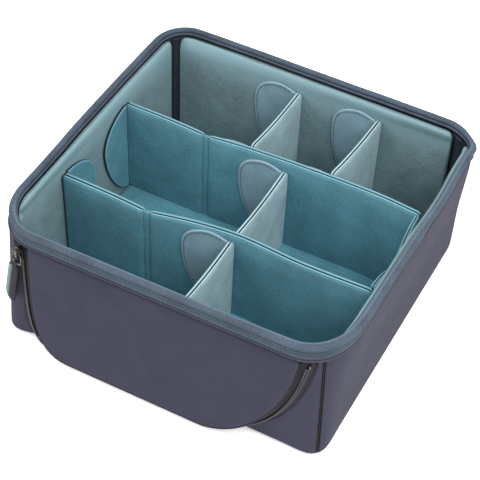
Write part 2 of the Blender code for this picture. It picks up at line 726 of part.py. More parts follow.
def build_pull(frame, slide):
    """The wire ring through the bail, and the pull that is folded round the ring."""
    origin, aside, down, out = frame
    level = origin + out * (SLIDER_PLATE + BAIL_SLOT / 2)
    plumb = (Vector((0, 0, -1)) + out * out.z).normalized()
    hang = plumb * math.cos(PULL_SWING) + plumb.cross(out) * math.sin(PULL_SWING)
    across = out.cross(hang)
    ring_pivot = carry(axis_empty("pull_ring_axis", level), slide)
    half, long = RING_WIDTH / 2 - RING_WIRE - RING_BEND, RING_LENGTH - 2 * RING_WIRE - RING_BEND
    loop = arc((-half, RING_BEND), RING_BEND, 180, 270, ROUND_STEPS)
    loop += arc((half, RING_BEND), RING_BEND, 270, 360, ROUND_STEPS)
    loop += arc((half, long), RING_BEND, 0, 90, ROUND_STEPS)
    loop += arc((-half, long), RING_BEND, 90, 180, ROUND_STEPS)
    line = [level + across * x + hang * y for x, y in loop]
    carry(tube("zip_pull_ring", line, RING_WIRE, "gunmetal", closed=True), ring_pivot)
    foot = level + hang * (long + RING_BEND)
    pull_pivot = carry(axis_empty("zip_pull_axis", foot), ring_pivot)
    rings = []
    for outer, inner, width in pull_strip():
        edges = ((outer, -width), (outer, width), (inner, width), (inner, -width))
        rings.append([foot + across * (side / 2) + hang * y + out * h for (y, h), side in edges])
    carry(loft("zip_pull_tab", rings, "pull_rubber"), pull_pivot)


def pull_strip():
    """The folded strip from one end to the other: outer side, inner side and width."""
    near, far = RING_WIRE + FIT, RING_WIRE + FIT + PULL_LEAF
    slit = PULL_SLIT / 2
    leaf = []
    for length_share, width_share in PULL_SHARES:
        place = PULL_LENGTH * length_share
        leaf.append(((place, slit + PULL_LEAF), (place, slit), PULL_WIDTH * width_share))
    leaf.append(((PULL_NECK, far), (PULL_NECK, slit), PULL_NECK))
    crown = arc((0, 0), far, 90, 270, ROUND_STEPS + ROUND_STEPS)
    bore = arc((0, 0), near, 90, 270, ROUND_STEPS + ROUND_STEPS)
    bend = [(outer, inner, PULL_NECK) for outer, inner in zip(crown, bore)]
    other = [((y, -h), (y, -k), width) for (y, h), (_, k), width in reversed(leaf)]
    return leaf + bend + other


def line_place(line, across):
    """How far back a long divider's middle lies: straight to its seam, a smooth bend after it."""
    if across <= line[1][0]:
        (x0, y0), (x1, y1) = line[:2]
        return y0 + (y1 - y0) * (across - x0) / (x1 - x0)
    knots = line[1:]
    for k in range(len(knots) - 1):
        (x0, y0), (x1, y1) = knots[k : k + 2]
        if across <= x1 or k == len(knots) - 2:
            break
    before = knots[k - 1] if k else (2 * x0 - x1, 2 * y0 - y1)
    after = knots[k + 2] if k + 2 < len(knots) else (2 * x1 - x0, 2 * y1 - y0)
    span = x1 - x0
    start = (y1 - before[1]) / (x1 - before[0]) * span
    end = (after[1] - y0) / (after[0] - x0) * span
    t = (across - x0) / span
    blend = (2 * t**3 - 3 * t**2 + 1, t**3 - 2 * t**2 + t, 3 * t**2 - 2 * t**3, t**3 - t**2)
    return blend[0] * y0 + blend[1] * start + blend[2] * y1 + blend[3] * end


def panel_ring(foot, head, side, half, low, high):
    """Section of a divider: two padded skins whose rounded lips meet in a groove at the top."""
    shape = [(-1, low), (-1, high - half * LIP_DROP_SHARE)]
    shape += [(-LIP_SHARE, high - EDGE_GROOVE * LIP_FALL_SHARE), (-LIP_SHARE / 2, high), (0, high - EDGE_GROOVE)]
    shape += [(-x, z) for x, z in reversed(shape[:-1])]
    ring = []
    for place, height in shape:
        share = (height - low) / (high - low)
        ring.append(foot.lerp(head, share) + side * (half * place) + Vector((aside(height), 0, height)))
    return ring


def flat(x, y):
    """A point on the plan."""
    return Vector((x, y, 0))


def long_panel(name, line, first, last, thick, height, seam_at, rise):
    """One section of a long divider between two places across the box.

    Its foot rises that much towards the wall, so that the section clears the floor as it folds.
    """
    top = DIVIDER_FOOT + height
    span = last - first
    ease = SEAM_HALF_WIDTH
    places = [first, first + ease / 2, first + ease]
    places += [first + ease + (span - 2 * ease) * k / LONG_STEPS for k in range(1, LONG_STEPS)]
    places += [last - ease, last - ease / 2, last]
    rings = []
    for across in places:
        nearest = min(across - first, last - across)
        at_seam = abs(across - seam_at) < ease + FIT
        least = SEAM_WEB / thick if at_seam else END_SHARE
        share = least + (1 - least) * math.sqrt(min(nearest / ease, 1))
        dip = SEAM_DIP * max(1 - abs(across - seam_at) / DIP_REACH, 0) ** 2
        here = flat(across, line_place(line, across))
        slope = line_place(line, across + FIT) - line_place(line, across - FIT)
        side = flat(-slope, 2 * FIT).normalized()
        low = DIVIDER_FOOT + rise * abs(across - seam_at) / span
        rings.append(panel_ring(here, here, side, thick / 2 * share, low, top - dip))
    return loft(name, rings, "teal_divider")


def superellipse(share, power):
    """Height share of a rounded corner at that share of its reach."""
    return max(1 - share**power, 0) ** (1 / power)


def tab(name, place, away, reach, thick, low, high, shape, material):
    """A half-moon tab. place(u) is its back face on the plan, away points off that face."""
    tip_share, head_power, foot_power = shape
    tip = low + (high - low) * tip_share
    rings = []
    for k in range(TAB_STEPS + 1):
        share = math.sin(math.pi / 2 * k / TAB_STEPS * TAB_END_SHARE)
        top = tip + (high - tip) * superellipse(share, head_power)
        foot = tip - (tip - low) * superellipse(share, foot_power)
        back = place(reach * share)
        front = back + away * thick
        up, down = Vector((aside(top), 0, top)), Vector((aside(foot), 0, foot))
        rings.append([back + down, back + up, front + up, front + down])
    return loft(name, rings, material)


def build_long_divider(name, line, height, toward, reach, shape):
    """A long divider: two sections folded at a stitched seam, with a padded tab at each end."""
    seam = line[1][0]
    edge = INNER_X - FIT
    half = LONG_THICK / 2
    middle = upright_axis(name + "_axis", 0, line_place(line, 0))
    carry(long_panel(name + "_right_panel", line, seam + FIT / 2, edge, LONG_THICK, height, seam, 0), middle)
    fold = upright_axis(name + "_fold_axis", seam, line_place(line, seam) + toward * SEAM_WEB / 2)
    carry(fold, middle)
    left = long_panel(name + "_left_panel", line, -edge, seam - FIT / 2, LONG_THICK, height, seam, FOLD_RISE)
    carry(left, fold)
    for side, label, parent, rise in ((-1, "left", fold, FOLD_RISE), (1, "right", middle, 0)):
        wall = side * edge
        start = line_place(line, wall) + toward * (half + FIT)
        pivot = upright_axis(name + "_" + label + "_tab_axis", wall - side * TAB_PADDED, start)
        carry(pivot, parent)
        piece = tab(
            name + "_" + label + "_tab",
            lambda u, wall=wall, start=start: flat(wall, start + toward * u),
            Vector((-side, 0, 0)),
            reach,
            TAB_PADDED,
            DIVIDER_FOOT + rise,
            DIVIDER_FOOT + height,
            shape,
            "teal_divider",
        )
        carry(piece, pivot)


def build_short_divider(places, front_face, back_face, height):
    """A short divider with a felt tab folded to the left at each end.

    front_face and back_face give the face that each end meets, at a place across the box.
    """
    name, front_x, back_x = places[0], INNER_X * places[1], INNER_X * places[2]
    half = SHORT_THICK / 2
    low, top = DIVIDER_FOOT, DIVIDER_FOOT + height
    front_y = max(front_face(front_x - half), front_face(front_x + half)) + FIT
    back_y = min(back_face(back_x - half), back_face(back_x + half)) - FIT
    middle = upright_axis(name + "_axis", (front_x + back_x) / 2, (front_y + back_y) / 2)
    start, end = flat(front_x, front_y), flat(back_x, back_y)
    along = end - start
    side = flat(along.y, -along.x).normalized()
    ease = half / along.length
    shares = [0, ease / 2, ease] + [k / SHORT_STEPS for k in range(1, SHORT_STEPS)] + [1 - ease, 1 - ease / 2, 1]
    rings = []
    for share in shares:
        nearest = min(share, 1 - share) / ease
        thin = END_SHARE + (1 - END_SHARE) * math.sqrt(min(nearest, 1))
        scoop = SHORT_SCOOP * 4 * share * (1 - share)
        here = start.lerp(end, share)
        rings.append(panel_ring(here, here, side, half * thin, low, top - scoop))
    carry(loft(name + "_panel", rings, "grey_divider"), middle)
    ends = (("front", front_face, front_x, 1, 0), ("back", back_face, back_x, -1, TAB_RISE))
    for label, face, centre, away, rise in ends:
        root = centre - half - FIT
        lay = face(root) + away * FIT
        pivot = upright_axis(name + "_" + label + "_tab_axis", root, lay + away * TAB_FELT)
        carry(pivot, middle)
        piece = tab(
            name + "_" + label + "_tab",
            lambda u, root=root, face=face, away=away: flat(root - u, face(root - u) + away * FIT),
            Vector((0, away, 0)),
            SHORT_TAB_REACH,
            TAB_FELT,
            low,
            top + rise,
            SHORT_TAB_SHAPE_SHARES,
            "tab_felt",
        )
        carry(piece, pivot)


def build_dividers():
    """Two long dividers across the box and four short ones between them and the walls."""
    build_long_divider("rear_divider", REAR_LINE, LONG_HEIGHT_REAR, -1, REAR_TAB_REACH, LONG_TAB_SHAPE_SHARES)
    build_long_divider("front_divider", FRONT_LINE, LONG_HEIGHT_FRONT, 1, FRONT_TAB_REACH, LONG_TAB_SHAPE_SHARES)
    half = LONG_THICK / 2

    def back_wall(across):
        return INNER_Y

    def front_wall(across):
        return -INNER_Y

    def behind_rear(across):
        return line_place(REAR_LINE, across) + half

    def before_rear(across):
        return line_place(REAR_LINE, across) - half

    def behind_front(across):
        return line_place(FRONT_LINE, across) + half

    def before_front(across):
        return line_place(FRONT_LINE, across) - half

    build_short_divider(REAR_LEFT_SHARES, behind_rear, back_wall, SHORT_HEIGHT_REAR)
    build_short_divider(REAR_RIGHT_SHARES, behind_rear, back_wall, SHORT_HEIGHT_REAR)
    build_short_divider(MIDDLE_SHORT_SHARES, behind_front, before_rear, SHORT_HEIGHT_FRONT)
    build_short_divider(FRONT_SHORT_SHARES, front_wall, before_front, SHORT_HEIGHT_FRONT)


def main():
    """Build the insert."""
    clear_scene()
    build_shell()
    build_boards()
    build_pads()
    build_rim()
    hinge = build_door()
    build_zip(hinge)
    build_slider(hinge)
    build_dividers()


main()
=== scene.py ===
"""Looks of a padded camera bag insert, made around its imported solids.

All lengths are in metres. X runs along the front, Y to the back and Z up, as in the solids.
"""

import json
import logging
import math
from collections.abc import Callable, Sequence
from dataclasses import dataclass
from enum import Enum

import bmesh
import bpy
import numpy as np
from mathutils import Matrix, Vector

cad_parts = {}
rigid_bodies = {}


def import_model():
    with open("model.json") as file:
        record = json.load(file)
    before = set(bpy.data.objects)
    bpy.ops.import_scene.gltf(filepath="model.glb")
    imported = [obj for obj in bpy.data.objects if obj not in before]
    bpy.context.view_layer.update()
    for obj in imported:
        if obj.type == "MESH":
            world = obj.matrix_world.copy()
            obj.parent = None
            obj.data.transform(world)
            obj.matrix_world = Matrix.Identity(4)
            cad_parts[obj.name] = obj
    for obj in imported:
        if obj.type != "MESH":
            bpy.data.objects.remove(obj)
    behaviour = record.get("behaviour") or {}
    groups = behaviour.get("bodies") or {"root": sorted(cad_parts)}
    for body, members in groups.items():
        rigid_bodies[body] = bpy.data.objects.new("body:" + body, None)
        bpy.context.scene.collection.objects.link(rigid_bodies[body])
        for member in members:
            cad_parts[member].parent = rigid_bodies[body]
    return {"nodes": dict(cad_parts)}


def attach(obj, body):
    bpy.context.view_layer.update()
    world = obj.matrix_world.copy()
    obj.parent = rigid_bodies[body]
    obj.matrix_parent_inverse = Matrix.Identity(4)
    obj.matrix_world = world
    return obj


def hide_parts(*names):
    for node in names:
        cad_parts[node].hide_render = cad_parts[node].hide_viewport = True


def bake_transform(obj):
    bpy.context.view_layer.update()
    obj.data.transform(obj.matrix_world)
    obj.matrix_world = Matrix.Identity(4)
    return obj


for startup in list(bpy.data.objects):
    bpy.data.objects.remove(startup, do_unlink=True)
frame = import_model()

log = logging.getLogger("camera_insert")

Tree = bpy.types.NodeTree
Socket = bpy.types.NodeSocket
Array = np.ndarray
Colour = tuple[float, float, float, float]

MM = 0.001
FIT = 0.3 * MM
WHOLE_TURN = 2 * math.pi


def linear(hex_colour: str) -> Colour:
    """Turns an sRGB hex colour to linear.

    Args:
        hex_colour: Six hex digits, red first.

    Returns:
        Linear red, green, blue and an alpha of one.
    """
    shares = [int(hex_colour[k : k + 2], 16) / 255 for k in (0, 2, 4)]
    light = [s / 12.92 if s <= 0.04045 else ((s + 0.055) / 1.055) ** 2.4 for s in shares]
    return (*light, 1.0)


def feed(tree: Tree, node: bpy.types.Node, inputs: dict) -> None:
    """Sets or links a node's inputs.

    Args:
        tree: The material's node tree.
        node: The node.
        inputs: Value, or output socket that feeds it, for each input by name or index.
    """
    for name, value in inputs.items():
        if isinstance(value, Socket):
            tree.links.new(value, node.inputs[name])
        else:
            node.inputs[name].default_value = value


def add_node(
    tree: Tree, kind: str, inputs: dict | None = None, output: int | str = 0, **settings: object
) -> Socket:
    """Adds one node with its settings and links.

    Args:
        tree: The material's node tree.
        kind: Blender's name for the node.
        inputs: Value, or output socket that feeds it, for each input by name or index.
        output: Which output is wanted.
        settings: The node's own properties.

    Returns:
        That output of the new node.
    """
    node = tree.nodes.new(kind)
    for name, value in settings.items():
        setattr(node, name, value)
    feed(tree, node, inputs or {})
    return node.outputs[output]


def attribute(tree: Tree, name: str, output: str) -> Socket:
    """Reads an attribute of the mesh."""
    return add_node(tree, "ShaderNodeAttribute", output=output, attribute_name=name)


def noise(tree: Tree, size: float, detail: float, roughness: float = 0.5) -> Socket:
    """Noise through the piece, with spots of about that size.

    Args:
        tree: The material's node tree.
        size: Size of a spot.
        detail: How many finer layers it has.
        roughness: How strong they are.

    Returns:
        The noise, from 0 to 1.
    """
    place = add_node(tree, "ShaderNodeTexCoord", output="Object")
    inputs = {"Vector": place, "Scale": 1 / size, "Detail": detail, "Roughness": roughness}
    return add_node(tree, "ShaderNodeTexNoise", inputs)


def calc(tree: Tree, operation: str, *values: object, clamp: bool = False) -> Socket:
    """One sum on values or sockets."""
    return add_node(tree, "ShaderNodeMath", dict(enumerate(values)), operation=operation, use_clamp=clamp)


def stretch(
    tree: Tree, value: Socket, old: tuple[float, float] = (0.0, 1.0), new: tuple[float, float] = (0.0, 1.0)
) -> Socket:
    """Moves a value from its old span to a new one, and holds it there."""
    spans = zip(("From Min", "From Max", "To Min", "To Max"), (*old, *new))
    return add_node(tree, "ShaderNodeMapRange", {"Value": value, **dict(spans)})


def mix(tree: Tree, share: object, first: object, second: object, blend: str = "MIX") -> Socket:
    """Mixes two colours by a share."""
    inputs = {0: share, 6: first, 7: second}
    return add_node(tree, "ShaderNodeMix", inputs, 2, data_type="RGBA", blend_type=blend)


def bump(tree: Tree, height: Socket, depth: float, strength: float) -> Socket:
    """Small relief from a height of 0 to 1."""
    return add_node(tree, "ShaderNodeBump", {"Height": height, "Distance": depth, "Strength": strength})


def blank_material(name: str) -> tuple[bpy.types.Material, Tree, bpy.types.Node]:
    """Makes a material with nothing but its shader.

    Args:
        name: The material's name.

    Returns:
        The material, its tree and its Principled shader.
    """
    material = bpy.data.materials.new(name)
    material.use_nodes = True
    return material, material.node_tree, material.node_tree.nodes["Principled BSDF"]


class Weave(Enum):
    """How the threads of a textile lie."""

    PLAIN = "over and under, both ways"
    RIBBED = "ribs along the strip"
    NAPPED = "brushed, with no threads to see"


@dataclass(frozen=True)
class Textile:
    """A cloth: its colours, its threads and its nap.

    The attribute tone paints light and shade: towards 1 the cloth takes its edge colour, a painted highlight
    where it turns over an edge, and towards -1 its gap colour, painted shade in a seam or groove. The
    attribute lay holds the distances along and across the piece.
    """

    name: str
    shade: str  # its colour
    edge: str  # its painted highlight colour, where it turns over an edge; it also tints the sheen
    gap: str  # its painted shade colour, in seams, grooves and folds
    weave: Weave
    pitch: float  # distance over one wave of its threads
    nap: float  # size of the fine spots
    mottle: float  # how far its colour varies
    relief: float  # depth of the small relief
    roughness: float
    sheen: float
    patch: float = 22 * MM  # size of the broad, faint patches

    def build(self) -> bpy.types.Material:
        """Makes the material.

        Returns:
            The finished material.
        """
        material, tree, shader = blank_material(self.name)
        tone = attribute(tree, "tone", "Fac")
        grain, broad = noise(tree, self.nap, 3.0, 0.65), noise(tree, self.patch, 2.0)
        threads = self.thread_height(tree)
        uneven = calc(tree, "MULTIPLY_ADD", broad, 0.4, calc(tree, "MULTIPLY", grain, 0.6))
        low, high = (
            tuple(min(c * (1 + change), 1.0) for c in linear(self.shade)[:3]) + (1.0,)
            for change in (-self.mottle, self.mottle)
        )
        colour = mix(tree, stretch(tree, uneven, (0.32, 0.68)), low, high)
        colour = mix(tree, 1.0, colour, stretch(tree, threads, new=(1 - self.mottle, 1.0)), "MULTIPLY")
        # Painted light: the edge colour is mixed in as painted highlight where the tone is above zero, and
        # the gap colour as painted shade where it is below.
        colour = mix(tree, calc(tree, "MULTIPLY", tone, 1.0, clamp=True), colour, linear(self.edge))
        colour = mix(tree, calc(tree, "MULTIPLY", tone, -1.0, clamp=True), colour, linear(self.gap))
        rough = stretch(tree, grain, new=(self.roughness - 0.08, min(self.roughness + 0.08, 1.0)))
        height = calc(tree, "MULTIPLY_ADD", grain, 0.5, threads)
        looks = {
            "Base Color": colour,
            "Roughness": rough,
            "Sheen Weight": self.sheen,
            "Sheen Roughness": 0.45,
            "Sheen Tint": linear(self.edge),
            "Specular IOR Level": 0.25,
            "Normal": bump(tree, height, self.relief, 0.8),
        }
        feed(tree, shader, looks)
        return material

    def thread_height(self, tree: Tree) -> Socket:
        """Draws the threads from the distances along and across the piece.

        Args:
            tree: The material's node tree.

        Returns:
            A height from 0 to 1.
        """
        if self.weave is Weave.NAPPED:
            return noise(tree, 2 * self.nap, 4.0)
        waves = []
        for axis in ("X", "Y"):
            lay = attribute(tree, "lay", "Vector")
            place = add_node(tree, "ShaderNodeSeparateXYZ", {0: lay}, axis)
            waves.append(calc(tree, "SINE", calc(tree, "MULTIPLY", place, WHOLE_TURN / self.pitch)))
        raw = calc(tree, "MULTIPLY", *waves) if self.weave is Weave.PLAIN else waves[1]
        return stretch(tree, raw, (-1.0, 1.0))


@dataclass(frozen=True)
class Metal:
    """A cast or drawn metal with a plated, slightly rubbed surface."""

    name: str
    shade: str
    rubbed: str  # its colour where it is rubbed
    roughness: float
    wear: float = 1.5 * MM  # size of the rubbed spots

    def build(self) -> bpy.types.Material:
        """Makes the material.

        Returns:
            The finished material.
        """
        material, tree, shader = blank_material(self.name)
        spots = noise(tree, self.wear, 4.0)
        rubbed = stretch(tree, spots, (0.45, 0.7))
        looks = {
            "Base Color": mix(tree, rubbed, linear(self.shade), linear(self.rubbed)),
            "Roughness": stretch(tree, spots, new=(self.roughness - 0.1, self.roughness + 0.15)),
            "Metallic": 1.0,
        }
        feed(tree, shader, looks)
        return material


@dataclass(frozen=True)
class Moulded:
    """A moulded plastic or rubber with a fine matt grain."""

    name: str
    shade: str
    grain_and_highlight: str  # its colour where the grain is high, and a painted highlight where the tone is high
    roughness: float
    grain: float = 0.8 * MM  # size of the grain
    relief: float = 0.05 * MM  # depth of the grain
    glow: float = 0.0
    gloss: float = 0.5

    def build(self) -> bpy.types.Material:
        """Makes the material.

        Returns:
            The finished material.
        """
        material, tree, shader = blank_material(self.name)
        grain = noise(tree, self.grain, 3.0)
        # The tone adds the paler colour as a painted highlight.
        grain_and_highlight = calc(tree, "MULTIPLY_ADD", grain, 0.3, attribute(tree, "tone", "Fac"), clamp=True)
        looks = {
            "Base Color": mix(tree, grain_and_highlight, linear(self.shade), linear(self.grain_and_highlight)),
            "Roughness": stretch(tree, grain, new=(self.roughness - 0.06, self.roughness + 0.08)),
            "Normal": bump(tree, grain, self.relief, 0.6),
            "Specular IOR Level": self.gloss,
            "Emission Color": linear(self.shade),
            "Emission Strength": self.glow,
        }
        feed(tree, shader, looks)
        return material


def tricot(name: str, shade: str, edge: str, gap: str) -> bpy.types.Material:
    """Brushed nylon tricot over foam; its edge colour is a painted highlight where it bends over to the
    light, and its gap colour painted shade.
    """
    threads = {"weave": Weave.NAPPED, "pitch": 1.0 * MM, "nap": 1.2 * MM, "mottle": 0.30}
    return Textile(name, shade, edge, gap, **threads, relief=0.14 * MM, roughness=0.92, sheen=0.25).build()


def plain_cloth(
    name: str, shade: str, edge: str, gap: str, relief: float, roughness: float, weave: Weave = Weave.PLAIN
) -> bpy.types.Material:
    """A thin dark cloth, whose real threads are too fine to show, drawn at 0.9 mm."""
    threads = {"weave": weave, "pitch": 0.9 * MM, "nap": 0.9 * MM, "mottle": 0.15}
    return Textile(name, shade, edge, gap, **threads, relief=relief, roughness=roughness, sheen=0.05).build()


class Finishes:
    """Every finish of the insert, made once."""

    def __init__(self) -> None:
        """Makes the materials."""
        # In each cloth below, the second colour is a painted highlight where the cloth turns over an edge,
        # and also tints its sheen; the third is painted shade in seams, grooves and folds.
        # Solution-dyed polyester, plain woven: a dull, slightly purple slate with fine threads.
        # The real threads are 0.4 mm apart, too fine to show, so they are drawn at 0.9 mm.
        colours = ("2e2e3f", "494858", "17161d")
        threads = {"weave": Weave.PLAIN, "pitch": 0.9 * MM, "nap": 1.3 * MM, "mottle": 0.22}
        surface = {"relief": 0.10 * MM, "roughness": 0.85, "sheen": 0.10}
        self.shell = Textile("woven_polyester", *colours, **threads, **surface).build()
        # Grosgrain polyester tape. Its ribs are in the mesh, and its threads are drawn at 1.3 mm.
        colours = ("465361", "6f8291", "141920")
        threads = {"weave": Weave.PLAIN, "pitch": 1.3 * MM, "nap": 1.5 * MM, "mottle": 0.45}
        surface = {"relief": 0.16 * MM, "roughness": 0.8, "sheen": 0.15}
        self.tape = Textile("grosgrain_tape", *colours, **threads, **surface).build()
        # One brushed tricot, dyed grey-teal on the walls, a fuller teal on the long dividers and
        # the floor, and grey-green on the short dividers.
        self.lining = tricot("brushed_tricot_lining", "70888e", "7a98a0", "16252a")
        self.teal = tricot("brushed_tricot_teal", "4f8493", "80a7b1", "080e11")
        self.grey = tricot("brushed_tricot_grey", "8da7ae", "a3bdc3", "10171a")
        # Looped felt for hook fasteners: blue-grey, fuzzy and uneven.
        colours = ("7795a2", "8fa7b3", "222d34")
        threads = {"weave": Weave.NAPPED, "pitch": 1.0 * MM, "nap": 0.6 * MM, "mottle": 0.30}
        surface = {"relief": 0.22 * MM, "roughness": 0.95, "sheen": 0.30}
        self.felt = Textile("looped_felt", *colours, **threads, **surface).build()
        # Bare dark lining cloth between the pads.
        self.dark = plain_cloth("dark_lining_cloth", "222b35", "414d59", "0b0e12", 0.10 * MM, 0.85)
        # Black cord covered in bias-cut cloth: a firm thin line along every outer seam.
        self.piping = plain_cloth("black_piping_cloth", "141419", "2a2a33", "060608", 0.06 * MM, 0.7)
        # Woven zip tape: nearly black. Its paler stripes, and the painted shade along its edges, come from
        # the tones in its mesh.
        colours = ("1a1a21", "37363a", "09090b")
        self.zip_tape = plain_cloth("woven_zip_tape", *colours, 0.08 * MM, 0.75, Weave.RIBBED)
        # Spun polyester thread: one a shade lighter than the floor's cloth, one dark.
        self.thread = Moulded("pale_polyester_thread", "7d97a3", "a9bfc8", 0.7).build()
        self.dark_thread = Moulded("dark_polyester_thread", "28323b", "3d4a55", 0.7).build()
        # Drawn nylon filament: nearly black with a small soft gloss; its paler colour is a painted highlight
        # on the crests of the coil's turns.
        self.nylon = Moulded("coiled_nylon", "17171b", "2b2b30", 0.42, relief=0.02 * MM).build()
        # Cast zinc, plated gunmetal: dark grey with brownish rubbed spots.
        self.zinc = Metal("gunmetal_cast_zinc", "3a3633", "8a7d70", 0.36).build()
        # Moulded rubber pull: matt and dark; its pale silvery teal colour is a painted highlight on the half
        # of the pull that faces the light.
        self.rubber = Moulded("moulded_rubber_pull", "1a1e20", "7c9396", 0.65, gloss=0.15).build()
        # Black polyethylene board and cord, which only a slit between two pads would show.
        self.board = Moulded("black_stiffening_board", "20242a", "2c3138", 0.8, 2.0 * MM).build()
        # Opal acrylic of a light table: plain white, and its glow takes the shadows away.
        self.floor = Moulded("opal_acrylic_floor", "fbfbfb", "ffffff", 0.9, 5.0 * MM, 0.0, glow=0.35).build()


@dataclass(frozen=True)
class Ripple:
    """A gentle unevenness that is the same each run: a few long waves through space."""

    seed: int
    height: float
    length: float
    waves: int = 5

    def at(self, points: Array) -> Array:
        """Gives the unevenness at each point.

        Args:
            points: Places, with x, y and z last.

        Returns:
            Heights from about -height to height.
        """
        chance = np.random.default_rng(self.seed)
        total = np.zeros(points.shape[:-1])
        for _ in range(self.waves):
            way = chance.normal(size=3)
            way /= np.linalg.norm(way)
            pace = WHOLE_TURN / (self.length * chance.uniform(0.6, 1.7))
            total += np.sin(points @ way * pace + chance.uniform(0, WHOLE_TURN))
        return total * self.height / self.waves


def smooth_step(share: Array) -> Array:
    """Eases a share from 0 to 1, flat at both ends."""
    share = np.clip(share, 0, 1)
    return share * share * (3 - 2 * share)


def arc(centre: tuple[float, float], radius: float, first: float, last: float, steps: int) -> Array:
    """Points of an arc.

    Args:
        centre: Across and up.
        radius: The arc's radius.
        first: Angle of the first point in degrees.
        last: Angle of the last point in degrees.
        steps: Number of steps.

    Returns:
        Points as rows of (across, up).
    """
    turns = np.radians(np.linspace(first, last, steps + 1))
    return np.stack([centre[0] + radius * np.cos(turns), centre[1] + radius * np.sin(turns)], axis=1)


def steps_between(first: float, last: float, step: float) -> Array:
    """Even places from first to last, about a step apart."""
    return np.linspace(first, last, max(int(abs(last - first) / step), 1) + 1)


def distances(line: Array) -> Array:
    """How far along a line each of its points lies."""
    return np.concatenate([[0], np.cumsum(np.linalg.norm(np.diff(line, axis=0), axis=1))])


def resample(line: Array, step: float) -> Array:
    """Puts even places along a line.

    Args:
        line: Rows of any number of values, of which the first three are x, y and z.
        step: Distance between places.

    Returns:
        New rows of the same values.
    """
    gone = distances(line[:, :3])
    places = np.linspace(0, gone[-1], max(int(round(gone[-1] / step)), 2) + 1)
    return np.stack([np.interp(places, gone, column) for column in line.T], axis=1)


def unit(vectors: Array) -> Array:
    """Each vector at length one."""
    return vectors / np.maximum(np.linalg.norm(vectors, axis=-1, keepdims=True), 1e-12)


def ways_along(line: Array) -> Array:
    """The direction of a line at each of its points."""
    return unit(np.gradient(line, axis=0))


def lofted(
    name: str,
    rings: Array,
    finish: bpy.types.Material,
    tone: Array | float = 0.0,
    closed: bool = False,
    sharp: float = 50,
    flat: bool = False,
) -> bpy.types.Object:
    """Makes a closed body through rings of equally many points.

    Args:
        name: The piece's name.
        rings: Points, by ring, by place round the ring, by axis.
        finish: Its material.
        tone: How far each point is painted towards its finish's paler colour (up to 1) or its darker one
            (down to -1), mostly as painted highlight and painted shade; by ring and place or by ring alone.
        closed: Whether the last ring joins the first.
        sharp: Edges that turn by more degrees than this stay sharp.
        flat: Whether its threads run straight across a flat piece instead of round its rings.

    Returns:
        The new object, not yet on a body.
    """
    rows, count = rings.shape[:2]
    spans = rows if closed else rows - 1
    row, place = np.meshgrid(np.arange(spans), np.arange(count), indexing="ij")
    row, place = row.ravel(), place.ravel()
    corners_row = np.stack([row, row, row + 1, row + 1], axis=1)
    corners_place = np.stack([place, place + 1, place + 1, place], axis=1)
    quads = (corners_row % rows) * count + corners_place % count
    faces = [tuple(quad) for quad in quads.tolist()]
    if not closed:
        faces.append(tuple(range(count - 1, -1, -1)))
        faces.append(tuple(range((rows - 1) * count, rows * count)))
    mesh = bpy.data.meshes.new(name)
    mesh.from_pydata(rings.reshape(-1, 3).tolist(), [], faces)
    along = distances(np.concatenate([rings, rings[:1]]).mean(axis=1))
    middle = rings[rows // 2]
    across = distances(np.concatenate([middle, middle[:1]]))
    lay = np.stack([along[corners_row], across[corners_place], np.zeros(corners_row.shape)], axis=2)
    if flat:
        spots = rings.reshape(-1, 3)[quads]
        lay[..., 0], lay[..., 1] = spots[..., 0], spots[..., 1] - spots[..., 2]
    lay = lay.reshape(-1, 3)
    lay = np.concatenate([lay, np.zeros((len(mesh.loops) - len(lay), 3))]).astype(np.float32)
    mesh.attributes.new("lay", "FLOAT_VECTOR", "CORNER").data.foreach_set("vector", lay.ravel())
    tones = np.broadcast_to(tone, (rows, count)).astype(np.float32)
    mesh.attributes.new("tone", "FLOAT", "POINT").data.foreach_set("value", tones.ravel())
    mesh.materials.append(finish)
    return placed(name, mesh, sharp)


def placed(name: str, mesh: bpy.types.Mesh, sharp: float = 50) -> bpy.types.Object:
    """Turns a mesh's faces outwards, smooths it and puts it in the scene.

    Args:
        name: The piece's name.
        mesh: Its mesh.
        sharp: Edges that turn by more degrees than this stay sharp.

    Returns:
        The new object.
    """
    shape = bmesh.new()
    shape.from_mesh(mesh)
    bmesh.ops.recalc_face_normals(shape, faces=shape.faces)
    shape.to_mesh(mesh)
    shape.free()
    mesh.shade_smooth()
    mesh.set_sharp_from_angle(angle=math.radians(sharp))
    made = bpy.data.objects.new(name, mesh)
    bpy.context.scene.collection.objects.link(made)
    return made


def level_rings(edge: Array, levels: Sequence[tuple[float, float]]) -> Array:
    """Level rings within an edge.

    Args:
        edge: Points of the edge.
        levels: Rows of (share of the way from its middle, height).

    Returns:
        Points, by ring, by place, by axis.
    """
    middle = edge.mean(axis=0)
    rings = np.array([middle + (edge - middle) * share for share, _ in levels])
    for ring, (_, height) in zip(rings, levels):
        ring[:, 2] = height
    return rings


def rod_rings(line: Array, radius: Array | float, sides: int = 10, closed: bool = False) -> Array:
    """Rings of a round rod along a line.

    Args:
        line: Points of its middle.
        radius: One radius, or one for each point.
        sides: Points round a ring.
        closed: Whether the line is a loop.

    Returns:
        Points, by ring, by place, by axis.
    """
    if closed:
        ways = unit(np.roll(line, -1, axis=0) - np.roll(line, 1, axis=0))
    else:
        ways = ways_along(line)
    side = np.cross(ways[0], (0.31, 0.17, 0.93))
    turns = np.linspace(0, WHOLE_TURN, sides, endpoint=False)
    radii = np.broadcast_to(radius, len(line))
    rings = []
    for point, way, size in zip(line, ways, radii):
        side = unit(side - way * (side @ way))
        up = np.cross(way, side)
        rings.append(point + size * (np.outer(np.cos(turns), side) + np.outer(np.sin(turns), up)))
    return np.array(rings)


